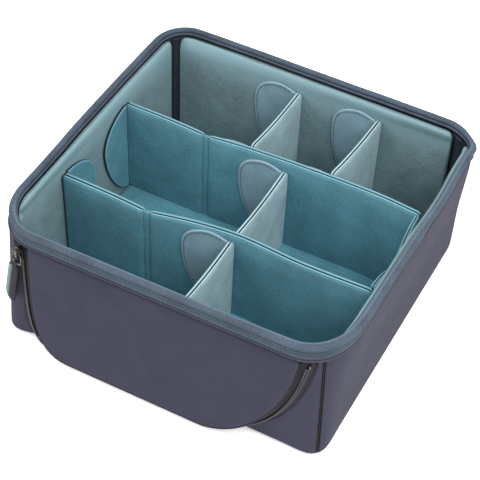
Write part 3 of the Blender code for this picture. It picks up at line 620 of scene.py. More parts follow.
def stitches(
    name: str,
    line: Array,
    out: Array,
    finish: bpy.types.Material,
    pitch: float,
    share: float,
    radius: float,
) -> bpy.types.Object:
    """A row of machine stitches on a surface.

    Args:
        name: The piece's name.
        line: Points on the surface.
        out: The way out of the surface at each point.
        finish: The thread.
        pitch: Distance from one stitch to the next.
        share: How much of the pitch shows thread.
        radius: The thread's radius.

    Returns:
        The new object, not yet on a body.
    """
    even = resample(np.concatenate([line, out], axis=1), pitch)
    dips = ((0.0, -1.0, 0.5), (0.12, 0.2, 1.0), (0.5, 0.45, 1.0), (0.88, 0.2, 1.0), (1.0, -1.0, 0.5))
    sides = 6
    turns = np.linspace(0, WHOLE_TURN, sides, endpoint=False)
    points, faces = [], []
    for start, end in zip(even[:-1], even[1:]):
        reach = end[:3] - start[:3]
        way = unit(reach)
        up = unit(start[3:] - way * (start[3:] @ way))
        side = np.cross(way, up)
        spokes = [side * math.cos(turn) + up * math.sin(turn) for turn in turns]
        base = len(points)
        for part, lift, size in dips:
            centre = start[:3] + reach * ((1 - share) / 2 + share * part) + up * (radius * lift)
            points += [centre + radius * size * spoke for spoke in spokes]
        for first in range(base, base + (len(dips) - 1) * sides, sides):
            for j in range(sides):
                a, b = first + j, first + (j + 1) % sides
                faces.append((a, b, b + sides, a + sides))
        faces.append(tuple(range(base + sides - 1, base - 1, -1)))
        faces.append(tuple(range(len(points) - sides, len(points))))
    mesh = bpy.data.meshes.new(name)
    mesh.from_pydata([tuple(point) for point in points], [], faces)
    mesh.materials.append(finish)
    return placed(name, mesh)


def cut_out(piece: bpy.types.Object, tool: bpy.types.Object) -> None:
    """Takes the tool's shape out of the piece and removes the tool.

    Args:
        piece: The object to cut.
        tool: A closed body.
    """
    change = piece.modifiers.new("cut", "BOOLEAN")
    change.operation = "DIFFERENCE"
    change.solver = "EXACT"
    change.object = tool
    bpy.context.view_layer.update()
    made = bpy.data.meshes.new_from_object(piece.evaluated_get(bpy.context.evaluated_depsgraph_get()))
    piece.modifiers.clear()
    piece.data = made
    bpy.data.objects.remove(tool, do_unlink=True)


def dress(
    piece: bpy.types.Object,
    body: str,
    nodes: Sequence[str] = (),
) -> None:
    """Puts a finished piece on its body.

    Args:
        piece: The piece, in its place.
        body: The body that it moves with.
        nodes: The solids that it stands for.
    """
    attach(piece, body)
    if nodes:
        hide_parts(*nodes)
    log.info("%s on %s", piece.name, body)


class Side(Enum):
    """Left or right, as seen from the front."""

    LEFT = -1
    RIGHT = 1


class End(Enum):
    """Front or back."""

    FRONT = -1
    BACK = 1


@dataclass(frozen=True)
class Plan:
    """The rounded outline of the box, which leans a little to the left towards its base.

    A station is a row of a corner's centre (x, y), its radius and the way out of the wall (x, y).
    """

    half_width: float = 0.150
    half_depth: float = 0.1425
    height: float = 0.131  # top of the rim
    wall_top: float = 0.1216  # top of the walls under the rim
    front_left: float = 0.042  # corner radii, here and in the next two lines
    front_right: float = 0.034
    back: float = 0.028
    aside: float = 0.0040  # how far the base lies to the left of the rim
    square: float = 0.0085  # how far the front corners are squared out at the base
    square_front: float = 0.0060  # how much further forward the left one comes
    swell: float = 3.1 * MM  # how far the right wall swells
    # How far the left and the back wall sag, as (place along the wall, distance), in millimetres.
    left_sag: tuple = (
        (-140, 3.0), (-110, 4.6), (-80, 4.1), (-45, 3.4), (-15, 2.0), (15, 1.2), (50, 0.7), (140, 0.7)
    )
    back_sag: tuple = (
        (-140, -1.2), (-100, -0.9), (-60, 0.0), (-20, 1.1), (20, 2.1), (60, 2.9), (100, 4.1), (130, 5.2)
    )
    step: float = 4.0 * MM  # distance between stations along a wall
    turn: float = 3.0  # degrees between stations round a corner

    def corner(self, end: End, side: Side, first: float, last: float) -> Array:
        """Stations round one corner.

        Args:
            end: Front or back.
            side: Left or right.
            first: First angle in degrees.
            last: Last angle in degrees.

        Returns:
            Rows of stations.
        """
        radius = self.back
        if end is End.FRONT:
            radius = self.front_left if side is Side.LEFT else self.front_right
        turns = np.radians(steps_between(first, last, self.turn))
        rows = np.empty((len(turns), 5))
        rows[:, 0] = side.value * (self.half_width - radius)
        rows[:, 1] = end.value * (self.half_depth - radius)
        rows[:, 2] = radius
        rows[:, 3], rows[:, 4] = np.cos(turns), np.sin(turns)
        return rows

    def run(self, *corners: Array) -> Array:
        """Joins corners with stations along the straight walls between them.

        Args:
            corners: Rows of stations, in order.

        Returns:
            All the stations.
        """
        rows = [corners[0]]
        for part in corners[1:]:
            here, there = rows[-1][-1], part[0]
            span = np.linalg.norm(there[:2] + there[2] * there[3:] - here[:2] - here[2] * here[3:])
            shares = np.linspace(0, 1, int(span / self.step) + 2)[1:-1, None]
            rows += [here + (there - here) * shares, part]
        return np.concatenate(rows)

    def whole(self) -> Array:
        """Stations all round the box, from the left wall's front end."""
        first = self.corner(End.FRONT, Side.LEFT, 180, 270)
        rows = self.run(
            first,
            self.corner(End.FRONT, Side.RIGHT, 270, 360),
            self.corner(End.BACK, Side.RIGHT, 0, 90),
            self.corner(End.BACK, Side.LEFT, 90, 180),
            first[:1],
        )
        return rows[:-1]

    def lean(self, heights: Array | float) -> Array | float:
        """How far the box lies to the left at a height."""
        return self.aside * (heights / self.height - 1)

    @staticmethod
    def outward(stations: Array) -> Array:
        """The way out of the box at each station."""
        return np.concatenate([stations[:, 3:], np.zeros((len(stations), 1))], axis=1)

    def sweep(self, stations: Array, section: Array) -> Array:
        """Carries a section along stations.

        Args:
            stations: Rows of stations.
            section: Rows of (inset, height), or one such table for each station.

        Returns:
            Points, by station, by place in the section, by axis.
        """
        section = np.broadcast_to(section, (len(stations), *np.shape(section)[-2:]))
        inset, height = section[..., 0], section[..., 1]
        cx, cy, radius, ox, oy = (column[:, None] for column in stations.T)
        fade = np.maximum(1 - height / self.wall_top, 0) * (2 * ox * oy) ** 2
        square = self.square * fade * (cy < 0) * math.sqrt(0.5)
        x = cx + ox * (radius - inset) + self.lean(height) + np.sign(cx) * square
        more = self.square_front * fade * smooth_step((-oy - 0.62) / 0.3) * (cx < 0)
        y = cy + oy * (radius - inset) - square - more
        right, forward = self.settling(x, y, height)
        return np.stack([x + right, y - forward, height], axis=2)

    def settling(self, x: Array, y: Array, z: Array) -> tuple[Array, Array]:
        """How the tops of the soft walls lie off the plain outline.

        The right wall swells outwards. The left and the back wall sag inwards under their rim.

        Args:
            x: Places to the right.
            y: Places to the back.
            z: Heights.

        Returns:
            Distances to the right and to the front.
        """
        side = smooth_step((x - 110 * MM) / (28 * MM)) * smooth_step((z - 45 * MM) / (70 * MM))
        ends = smooth_step((y + 130 * MM) / (40 * MM)) * smooth_step((138 * MM - y) / (22 * MM))
        swell = (self.swell + 1.6 * MM * np.exp(-(((y - 45 * MM) / (35 * MM)) ** 2))) * side * ends
        top = smooth_step((z - 108 * MM) / (13 * MM))
        left_y, left = np.array(self.left_sag).T * MM
        back_x, back = np.array(self.back_sag).T * MM
        left = np.interp(y, left_y, left) * smooth_step((-x - 112 * MM) / (26 * MM)) * top
        back = np.interp(x, back_x, back) * smooth_step((y - 112 * MM) / (26 * MM)) * top
        return swell + left, back

    def along_right(self, stations: Array, first: float, last: float, ease: float) -> Array:
        """Which stations lie on the right wall between two places along it.

        Args:
            stations: Rows of stations.
            first: Place of the front end of the stretch.
            last: Place of its back end.
            ease: Length over which each end fades.

        Returns:
            Shares from 0 to 1.
        """
        spots = self.sweep(stations, np.array([(0.0, self.height)]))[:, 0]
        right = smooth_step((spots[:, 0] - 125 * MM) / (20 * MM))
        return right * smooth_step((spots[:, 1] - first) / ease) * smooth_step((last - spots[:, 1]) / ease)


@dataclass
class Shell:
    """Outer fabric with its seam pipings: a front wall, a wrap round the other three, a base."""

    plan: Plan
    finishes: Finishes
    door: "Door"
    fabric: float = 1.2 * MM  # its thickness
    base_round: float = 8.0 * MM  # radius of the bend under the base
    seam_left: float = 225.0  # angles of the corner seams, here and in the next line
    seam_right: float = 315.0
    piping: float = 0.9 * MM  # its radius
    tuck: float = 0.5 * MM  # how far the fabric is tucked in at a seam
    tuck_reach: float = 5.0 * MM  # length over which it is tucked in
    rise: float = 5.0 * MM  # distance between heights
    seam_drop: float = 20.9 * MM  # from the top of the rim down to the seam
    ripple: Ripple = Ripple(11, 0.3 * MM, 120 * MM)

    def section(self) -> Array:
        """The fabric's section: rounded under the base, then up to the rim."""
        centre = (self.base_round, self.base_round)
        outer = arc(centre, self.base_round, 270, 180, 8)
        heights = steps_between(self.base_round, self.plan.wall_top, self.rise)[1:]
        up = np.stack([np.zeros(len(heights)), heights], axis=1)
        down = np.stack([np.full(len(heights), self.fabric), heights[::-1]], axis=1)
        inner = arc(centre, self.base_round - self.fabric, 180, 270, 8)
        return np.concatenate([outer, up, down, inner])

    def wall(self, name: str, stations: Array) -> bpy.types.Object:
        """One wall of fabric, uneven and tucked in towards its seams.

        Args:
            name: The piece's name.
            stations: Where it runs.

        Returns:
            The new object.
        """
        rings = self.plan.sweep(stations, self.section())
        spots = rings[:, len(rings[0]) // 4]
        gone = distances(spots)
        nearest = np.minimum(gone, gone[-1] - gone)
        tuck = self.tuck * (1 - smooth_step(nearest / self.tuck_reach))
        height = rings[..., 2]
        hold = smooth_step(height / (3 * self.base_round))
        hold = hold * smooth_step((self.plan.wall_top - height) / (20 * MM))
        shift = self.ripple.at(rings) * hold + 0.25 * MM * hold - tuck[:, None] * 0.5
        rings = rings + self.plan.outward(stations)[:, None, :] * shift[..., None]
        # Painted shade in the last millimetre by each seam, where the cloth tucks in.
        tone = -0.5 * (1 - smooth_step(nearest / (1 * MM)))[:, None]
        return lofted(name, rings, self.finishes.shell, tone)

    def build(self) -> None:
        """Makes and dresses every piece of the shell."""
        skip = math.degrees((self.piping + FIT) / (self.plan.front_right - self.fabric))
        front = self.plan.run(
            self.plan.corner(End.FRONT, Side.LEFT, self.seam_left + skip, 270),
            self.plan.corner(End.FRONT, Side.RIGHT, 270, self.seam_right - skip),
        )
        wrap = self.plan.run(
            self.plan.corner(End.FRONT, Side.RIGHT, self.seam_right + skip, 360),
            self.plan.corner(End.BACK, Side.RIGHT, 0, 90),
            self.plan.corner(End.BACK, Side.LEFT, 90, 180),
            self.plan.corner(End.FRONT, Side.LEFT, 180, self.seam_left - skip),
        )
        wall = self.wall("front_fabric", front)
        cut_out(wall, self.door.opening_tool())
        dress(wall, "box", ["front_wall_fabric"])
        dress(self.wall("wrap_fabric", wrap), "box", ["wrap_wall_fabric"])
        edge = self.plan.sweep(self.plan.whole(), np.array([(self.base_round + FIT, 0.0)]))[:, 0]
        levels = ((0.5, 0.0), (1.0, 0.0), (1.0, self.fabric), (0.5, self.fabric))
        base = lofted("base_panel", level_rings(edge, levels), self.finishes.shell, flat=True)
        dress(base, "box", ["base_fabric"])
        for side, place in ((Side.LEFT, self.seam_left), (Side.RIGHT, self.seam_right)):
            self.seam(side, place)

    def seam(self, side: Side, place: float) -> None:
        """Black piping down a front corner and round under the base.

        Args:
            side: Which front corner.
            place: Its angle in degrees.
        """
        top = self.plan.height - self.seam_drop + FIT
        heights = steps_between(top + self.piping, self.base_round, self.rise)
        up = np.stack([np.full(len(heights), self.piping), heights], axis=1)
        bend = arc((self.base_round, self.base_round), self.base_round - self.piping, 180, 262, 10)[1:]
        station = self.plan.corner(End.FRONT, side, place, place + 1)[:1]
        line = self.plan.sweep(station, np.concatenate([up, bend]))[0]
        line[:, 0] += Ripple(21, 0.25 * MM, 40 * MM).at(line)
        name = f"front_{side.name.lower()}_seam"
        # The piping is painted most of the way to its darker gap colour: painted shade down the seam.
        made = lofted(name, rod_rings(line, 0.8 * self.piping, 12), self.finishes.piping, -0.8)
        dress(made, "box", [f"front_{side.name.lower()}_seam_piping"])


@dataclass
class Rim:
    """Woven tape folded over a cord and stitched down in a band, with a thin edge piping.

    From inside the tape is two rolls with a groove between them. On the right wall the
    band is tucked under them along its far part. The rolls are fullest round the near right corner.
    """

    plan: Plan
    finishes: Finishes
    tape: float = 1.0 * MM  # its thickness
    band: float = 16.4 * MM  # from the top of the rim down to the band's lower edge
    width: float = 8.2 * MM  # the band's width
    rib: float = 1.7 * MM  # distance between ribs on the outer roll
    rib_height: float = 0.07 * MM
    band_rib: float = 1.4 * MM  # distance between ribs on the band
    edge: float = 0.95 * MM  # radius of the edge piping
    full: float = 0.6  # how much fuller the rolls are at the near right corner
    full_reach: float = 60 * MM  # distance over which that fades
    facing: tuple = (0.47, -0.88)  # the way towards the camera; sides that face it get the front pattern of painted light on the outer roll
    wobble: Ripple = Ripple(5, 0.35 * MM, 70 * MM)  # unevenness up and down
    sway: Ripple = Ripple(6, 0.3 * MM, 55 * MM)  # unevenness in and out

    def rolls(self, slim: float) -> tuple[tuple[float, float], float, tuple[float, float], float]:
        """Middle and radius of the outer and of the inner roll.

        Args:
            slim: How slim they are, from 0 to 1.

        Returns:
            Middle (inset, height) and radius of the outer roll, then of the inner one.
        """
        top = self.plan.height
        outer = ((1.1 - 1.0 * slim) * MM, top - (4.4 + 0.3 * slim) * MM)
        inner = ((5.5 - 2.5 * slim) * MM, top - (6.6 - 0.1 * slim) * MM)
        return outer, (4.1 - 1.1 * slim) * MM, inner, (2.1 - 1.1 * slim) * MM

    def band_place(self, tuck: float) -> tuple[float, float]:
        """Height of the band's lower edge and its width, by how far it is tucked away."""
        return self.plan.height - self.band + 5.4 * MM * tuck, self.width - 5.8 * MM * tuck

    def section(self, slim: float, tuck: float, near: float) -> tuple[Array, Array]:
        """The tape's section, and the tones that paint light and shade on each of its points.

        Args:
            slim: How slim the rolls are.
            tuck: How far the band is tucked away.
            near: 1 where the side faces the camera, as on the front wall, and 0 where it faces away; it picks
                where the painted highlight falls on the outer roll.

        Returns:
            Rows of (inset, height), and tones: painted highlight above zero, painted shade below.
        """
        outer, outer_size, inner, inner_size = self.rolls(slim)
        low, width = self.band_place(tuck)
        turns = np.radians(np.linspace(212, 18, 84))
        gone = (turns[0] - turns) * outer_size
        ribs = self.rib_height * np.cos(gone / self.rib * WHOLE_TURN)
        across = outer[0] + (outer_size + ribs) * np.cos(turns)
        roll = np.stack([across, outer[1] + (outer_size + ribs) * np.sin(turns)], axis=1)
        degrees = np.degrees(turns)
        # Painted light on the outer roll. Its rib crests are painted a little paler. Where the side faces the
        # camera its inner top is painted as a highlight and its outer foot as shade; elsewhere its outer half
        # is the highlight.
        fore = 0.36 - 0.42 * smooth_step((degrees - 68) / 34) - 0.26 * smooth_step((degrees - 150) / 50)
        aft = 0.34 * smooth_step((degrees - 105) / 30) - 0.04 * (1 - smooth_step((degrees - 55) / 60))
        roll_painted_light = 0.10 * ribs / self.rib_height + fore * near + aft * (1 - near)
        # Painted shade where the roll turns down into the groove.
        roll_painted_light = roll_painted_light - 0.4 * smooth_step((28 - degrees) / 10)
        groove = arc(outer, outer_size - self.tape + 0.15 * MM, 8, 6, 1)
        second = arc(inner, inner_size, 115, -75, 22)
        # Painted shade at both sides of the inner roll: in the groove and where it meets the pad.
        second_painted_shade = -0.3 * (1 - smooth_step(np.linspace(0, 5, 23)))
        second_painted_shade = second_painted_shade - 0.7 * smooth_step(np.linspace(-2, 1, 23))
        face = -FIT - self.tape * (1 - 0.5 * tuck)
        rise = np.linspace(0, 1, 25)
        bulge = 0.75 * MM * (1 - tuck) * np.sqrt(np.maximum(1 - (2 * rise - 1) ** 2, 0))
        wave = np.cos(rise * width / self.band_rib * WHOLE_TURN)
        grain = 0.08 * MM * (1 - tuck) * wave
        band = np.stack([face - bulge - grain, low + width * rise], axis=1)
        # Painted light on the band: painted highlight on its rib crests; the whole band painted darker as
        # painted shade, the more where it is tucked away under the rolls; two paler stripes along it; and
        # painted shade along its lower and upper edges.
        band_painted_light = 0.10 * wave - 0.5 * tuck
        band_painted_light = band_painted_light + 0.12 * np.cos((rise - 0.78) * 2.2 * WHOLE_TURN) - 0.24
        band_painted_light[:2] = -0.75
        band_painted_light[-2:] = -0.35
        valley = np.array([(face + 0.3 * MM, low + width + 0.7 * MM)])
        cord = arc(outer, outer_size - self.tape, -30, 212, 24)
        back = np.array([(-FIT, low + width), (-FIT, low)])
        section = np.concatenate([band, valley, roll, groove, second, cord, back])
        # Painted shade in the valley under the roll, in the groove and on the hidden cord side.
        tones = [band_painted_light, [-0.5], roll_painted_light, [-0.6, -0.6], second_painted_shade, np.full(len(cord) + 2, -0.5)]
        return section, np.concatenate(tones)

    def build(self) -> None:
        """Makes and dresses every piece of the rim."""
        plan = self.plan
        stations = plan.whole()
        spots = plan.sweep(stations, np.array([(0.0, plan.height)]))[:, 0]
        corner = np.array([plan.half_width, -plan.half_depth])
        slim = 1 - self.full * np.exp(-(np.linalg.norm(spots[:, :2] - corner, axis=1) / self.full_reach) ** 2)
        # Sides facing the camera get the front pattern of painted light on the outer roll, and the others the
        # back pattern.
        near = smooth_step(stations[:, 3] * self.facing[0] + stations[:, 4] * self.facing[1] + 0.5)
        tuck = plan.along_right(stations, 4 * MM, 134 * MM, 24 * MM)
        out = plan.outward(stations)
        made = [self.section(s, t, n) for s, t, n in zip(slim, tuck, near)]
        rings = plan.sweep(stations, np.array([section for section, _ in made]))
        spots = rings.mean(axis=1)
        rings[..., 2] += self.wobble.at(spots)[:, None] * 0.6
        rings += out[:, None, :] * self.sway.at(spots)[:, None, None]
        tones = np.array([tone for _, tone in made])
        tape = lofted("rim_tape", rings, self.finishes.tape, tones, closed=True, sharp=70)
        dress(tape, "box", ["rim_binding"])
        cords = []
        for share in slim:
            outer, size, _, _ = self.rolls(share)
            cords.append(arc(outer, size - self.tape - 0.3 * MM, 0, 360, 12)[:-1])
        cord = plan.sweep(stations, np.array(cords))
        cord += out[:, None, :] * self.sway.at(spots)[:, None, None]
        core = lofted("rim_cord_core", cord, self.finishes.board, closed=True)
        dress(core, "box", ["rim_cord"])
        trims = []
        for share in tuck:
            place = self.band_place(share)[0] - FIT - self.edge
            trims.append(arc((-FIT - self.edge, place), self.edge * (1 - 0.4 * share), 0, 360, 10)[:-1])
        trim = plan.sweep(stations, np.array(trims))
        trim[..., 2] += self.wobble.at(trim.mean(axis=1))[:, None] * 0.3
        trimming = lofted("rim_edge_trim", trim, self.finishes.shell, 0.4, closed=True)
        dress(trimming, "box", ["rim_edge_piping"])
        self.stitch_rows(stations, out, tuck)

    def stitch_rows(self, stations: Array, out: Array, tuck: Array) -> None:
        """The two rows of stitches on the band.

        Args:
            stations: Stations all round the box.
            out: The way out of the wall at each.
            tuck: How far the band is tucked away at each.
        """
        low = self.plan.height - self.band
        face = -FIT - self.tape
        turn = -int(np.argmax(tuck))
        free = np.roll(tuck, turn) < 0.12
        thread = self.finishes.dark_thread
        places = (("upper", low + 5.6 * MM, 0.72 * MM), ("lower", low + 1.5 * MM, 0.56 * MM))
        for name, height, inset in places:
            row = self.plan.sweep(stations, np.array([(face - inset, height)]))[:, 0]
            row[:, 2] += self.wobble.at(row) * 0.6
            row += out * (self.sway.at(row) + 0.12 * MM)[:, None]
            row, way = np.roll(row, turn, axis=0)[free], np.roll(out, turn, axis=0)[free]
            made = stitches(f"rim_{name}_stitches", row, way, thread, 3.4 * MM, 0.55, 0.36 * MM)
            dress(made, "box")


@dataclass
class Linings:
    """Crowned pads on the walls, the floor pad and the dark cloth between them in the corners."""

    plan: Plan
    finishes: Finishes
    out: float = 4.2 * MM  # inset of the pads' outer faces
    inside: float = 10.0 * MM  # inset of their inner faces
    low: float = 3.8 * MM  # height of their feet
    floor: float = 12.0 * MM  # top of the floor pad
    shoulder: float = 12.0 * MM  # height over which a pad's top is crowned
    cloth: float = 0.8 * MM  # thickness of the bare cloth
    side_turn: float = 30.0  # degrees that the pads run into the corners, here and in the next three lines
    back_turn: float = 37.0
    back_right_turn: float = 19.0
    front_turn: float = 30.0
    gap_turn: float = 1.5  # degrees between a pad and the bare cloth
    corner_drop: float = 4.5 * MM  # how far a pad's upper corners are rounded down
    corner_reach: float = 6.0 * MM  # length over which they are
    foot_round: float = 3.0 * MM  # rounding at a pad's foot
    right_rise: float = 1.3 * MM  # how far the right pad stands above the others
    fold: float = 2.2 * MM  # depth of the fold in the bare cloth
    fade: float = 29.0 * MM  # height over which the painted highlight on a pad's top fades
    ripple: Ripple = Ripple(31, 0.5 * MM, 60 * MM)

    def pad(
        self,
        name: str,
        stations: Array,
        facing: tuple[float, float],
        rise: float = 0.0,
        door: "Door | None" = None,
    ) -> None:
        """A padded wall panel with a crowned top and rounded upper corners.

        Args:
            name: The solid that it stands for.
            stations: Where it runs.
            facing: The way out of its wall.
            rise: How far its top stands above the boards.
            door: The door whose opening is cut from it.
        """
        radius = stations[:, 2]
        inner = radius - (radius - self.inside) / (stations[:, 3:] @ np.array(facing))
        depth = inner - self.out
        spots = self.plan.sweep(stations, np.array([(self.out, self.plan.wall_top)]))[:, 0]
        gone = distances(spots)
        nearest = np.minimum(gone, gone[-1] - gone)
        ends = np.clip(1 - nearest / self.corner_reach, 0, 1)
        high = self.plan.wall_top + rise - self.corner_drop * (1 - np.sqrt(1 - ends**2))
        crown = np.radians(np.linspace(90, 0, 15))
        shares, drops = 0.22 + 0.78 * np.cos(crown), 1 - np.sin(crown)
        face = np.linspace(1, 0, 22)[1:-1]
        foot = np.radians(np.linspace(0, 70, 5))
        end = self.low + self.foot_round
        sections = []
        for reach, top in zip(depth, high):
            part = [(self.out, self.low), (self.out, top)]
            part += [(self.out + reach * s, top - self.shoulder * d) for s, d in zip(shares, drops)]
            start, front = top - self.shoulder, self.out + reach
            part += [(front, end + (start - end) * f) for f in face]
            for turn in foot:
                aside = front - self.foot_round / 2 * (1 - math.cos(turn))
                part.append((aside, end - self.foot_round * math.sin(turn)))
            sections.append(part)
        sections = np.array(sections)
        rings = self.plan.sweep(stations, sections)
        inward = np.array([-facing[0], -facing[1], 0.0])
        free = smooth_step((rings[..., 2] - self.low) / (30 * MM))
        is_face = sections[..., 0] > self.out + 0.15 * depth[:, None]
        shift = (self.ripple.at(rings) - 0.35 * MM) * free * is_face * (depth / depth.max())[:, None]
        rings = rings + inward * shift[..., None]
        # Painted light on the pad: its top is painted pale, a painted highlight that fades down the face, and
        # the strip of its top by the wall, under the rim, is painted shade.
        drop = (high[:, None] - sections[..., 1] - 5 * MM) / self.fade
        covered = smooth_step(((sections[..., 0] - self.out) / depth[:, None] - 0.2) / 0.35)
        tone = (0.76 * (1 - smooth_step(drop)) * covered - 0.45 * (1 - covered)) * is_face
        made = lofted(f"{name}_cushion", rings, self.finishes.lining, tone, sharp=60)
        if door:
            cut_out(made, door.pad_tool())
        dress(made, "box", [name])

    def build(self, door: "Door") -> None:
        """Makes and dresses every lining.

        Args:
            door: The door whose opening the front pad leaves free.
        """
        plan, side, back, front = self.plan, self.side_turn, self.back_turn, self.front_turn
        left = plan.run(
            plan.corner(End.BACK, Side.LEFT, 180 - side, 180),
            plan.corner(End.FRONT, Side.LEFT, 180, 180 + side),
        )
        self.pad("left_wall_pad", left, (-1, 0))
        right = plan.run(
            plan.corner(End.FRONT, Side.RIGHT, 360 - side, 360), plan.corner(End.BACK, Side.RIGHT, 0, side)
        )
        self.pad("right_wall_pad", right, (1, 0), self.right_rise)
        rear = plan.run(
            plan.corner(End.BACK, Side.RIGHT, 90 - self.back_right_turn, 90),
            plan.corner(End.BACK, Side.LEFT, 90, 90 + back),
        )
        self.pad("back_wall_pad", rear, (0, 1))
        fore = plan.run(
            plan.corner(End.FRONT, Side.LEFT, 270 - front, 270),
            plan.corner(End.FRONT, Side.RIGHT, 270, 270 + front),
        )
        self.pad("front_wall_pad", fore, (0, -1), door=door)
        self.floor_pad()
        bare, end = side + self.gap_turn, 90 - back - self.gap_turn
        right_end = 90 - self.back_right_turn - self.gap_turn
        fore_end = 90 - front - self.gap_turn
        corners = (
            ("back_left", plan.corner(End.BACK, Side.LEFT, 180 - end, 180 - bare)),
            ("back_right", plan.corner(End.BACK, Side.RIGHT, bare, right_end)),
            ("front_left", plan.corner(End.FRONT, Side.LEFT, 180 + bare, 180 + fore_end)),
            ("front_right", plan.corner(End.FRONT, Side.RIGHT, 360 - fore_end, 360 - bare)),
        )
        for name, stations in corners:
            self.dark_cloth(name, stations)

    def dark_cloth(self, name: str, stations: Array) -> None:
        """The bare cloth in a corner, gathered in one upright fold that widens to the top.

        Args:
            name: Which corner.
            stations: Where it runs.
        """
        heights = np.linspace(self.low, self.plan.wall_top + 1.0 * MM, 12)
        sections, tones = [], []
        for share in np.linspace(0, 1, len(stations)):
            lift = self.fold * math.sin(math.pi * share) ** 2 * (0.3 + 0.7 * (heights / heights[-1]) ** 2)
            back = np.stack([np.full(len(heights), self.out + FIT), heights], axis=1)
            front = np.stack([self.out + FIT + self.cloth + lift, heights], axis=1)
            sections.append(np.concatenate([back, front[::-1]]))
            # Painted shade towards both sides of the fold, where the cloth meets the pads; the fold's crest
            # keeps its plain colour.
            tones.append(0.5 * math.sin(math.pi * share) ** 4 - 0.5)
        tone = np.array(tones)[:, None]
        finish = self.finishes.lining if name == "front_left" else self.finishes.dark
        cloth = lofted(f"{name}_dark_cloth", self.plan.sweep(stations, np.array(sections)), finish, tone)
        dress(cloth, "box", [f"{name}_corner_lining"])

    def floor_pad(self) -> None:
        """The padded floor, a little crowned, with its edge rounded down."""
        edge = self.plan.sweep(self.plan.whole(), np.array([(self.inside + FIT, self.floor)]))[:, 0]
        levels = [(share, self.floor) for share in (0.02, 0.3, 0.6, 0.85, 0.95)]
        levels += [(0.985, self.floor - 0.6 * MM), (1.0, self.floor - 2.4 * MM)]
        levels += [(1.0, self.low), (0.02, self.low)]
        made = lofted("floor_cushion", level_rings(edge, levels), self.finishes.teal)
        dress(made, "box", ["floor_pad"])


def bezier(ends: Sequence[tuple[float, float]], shares: Array) -> Array:
    """Points of a cubic curve at those shares of it.

    Args:
        ends: Its first end, two pulls and last end.
        shares: Shares from 0 to 1.

    Returns:
        One row for each share.
    """
    rest = 1 - shares
    weights = np.stack([rest**3, 3 * rest**2 * shares, 3 * rest * shares**2, shares**3], axis=1)
    return weights @ np.array(ends)


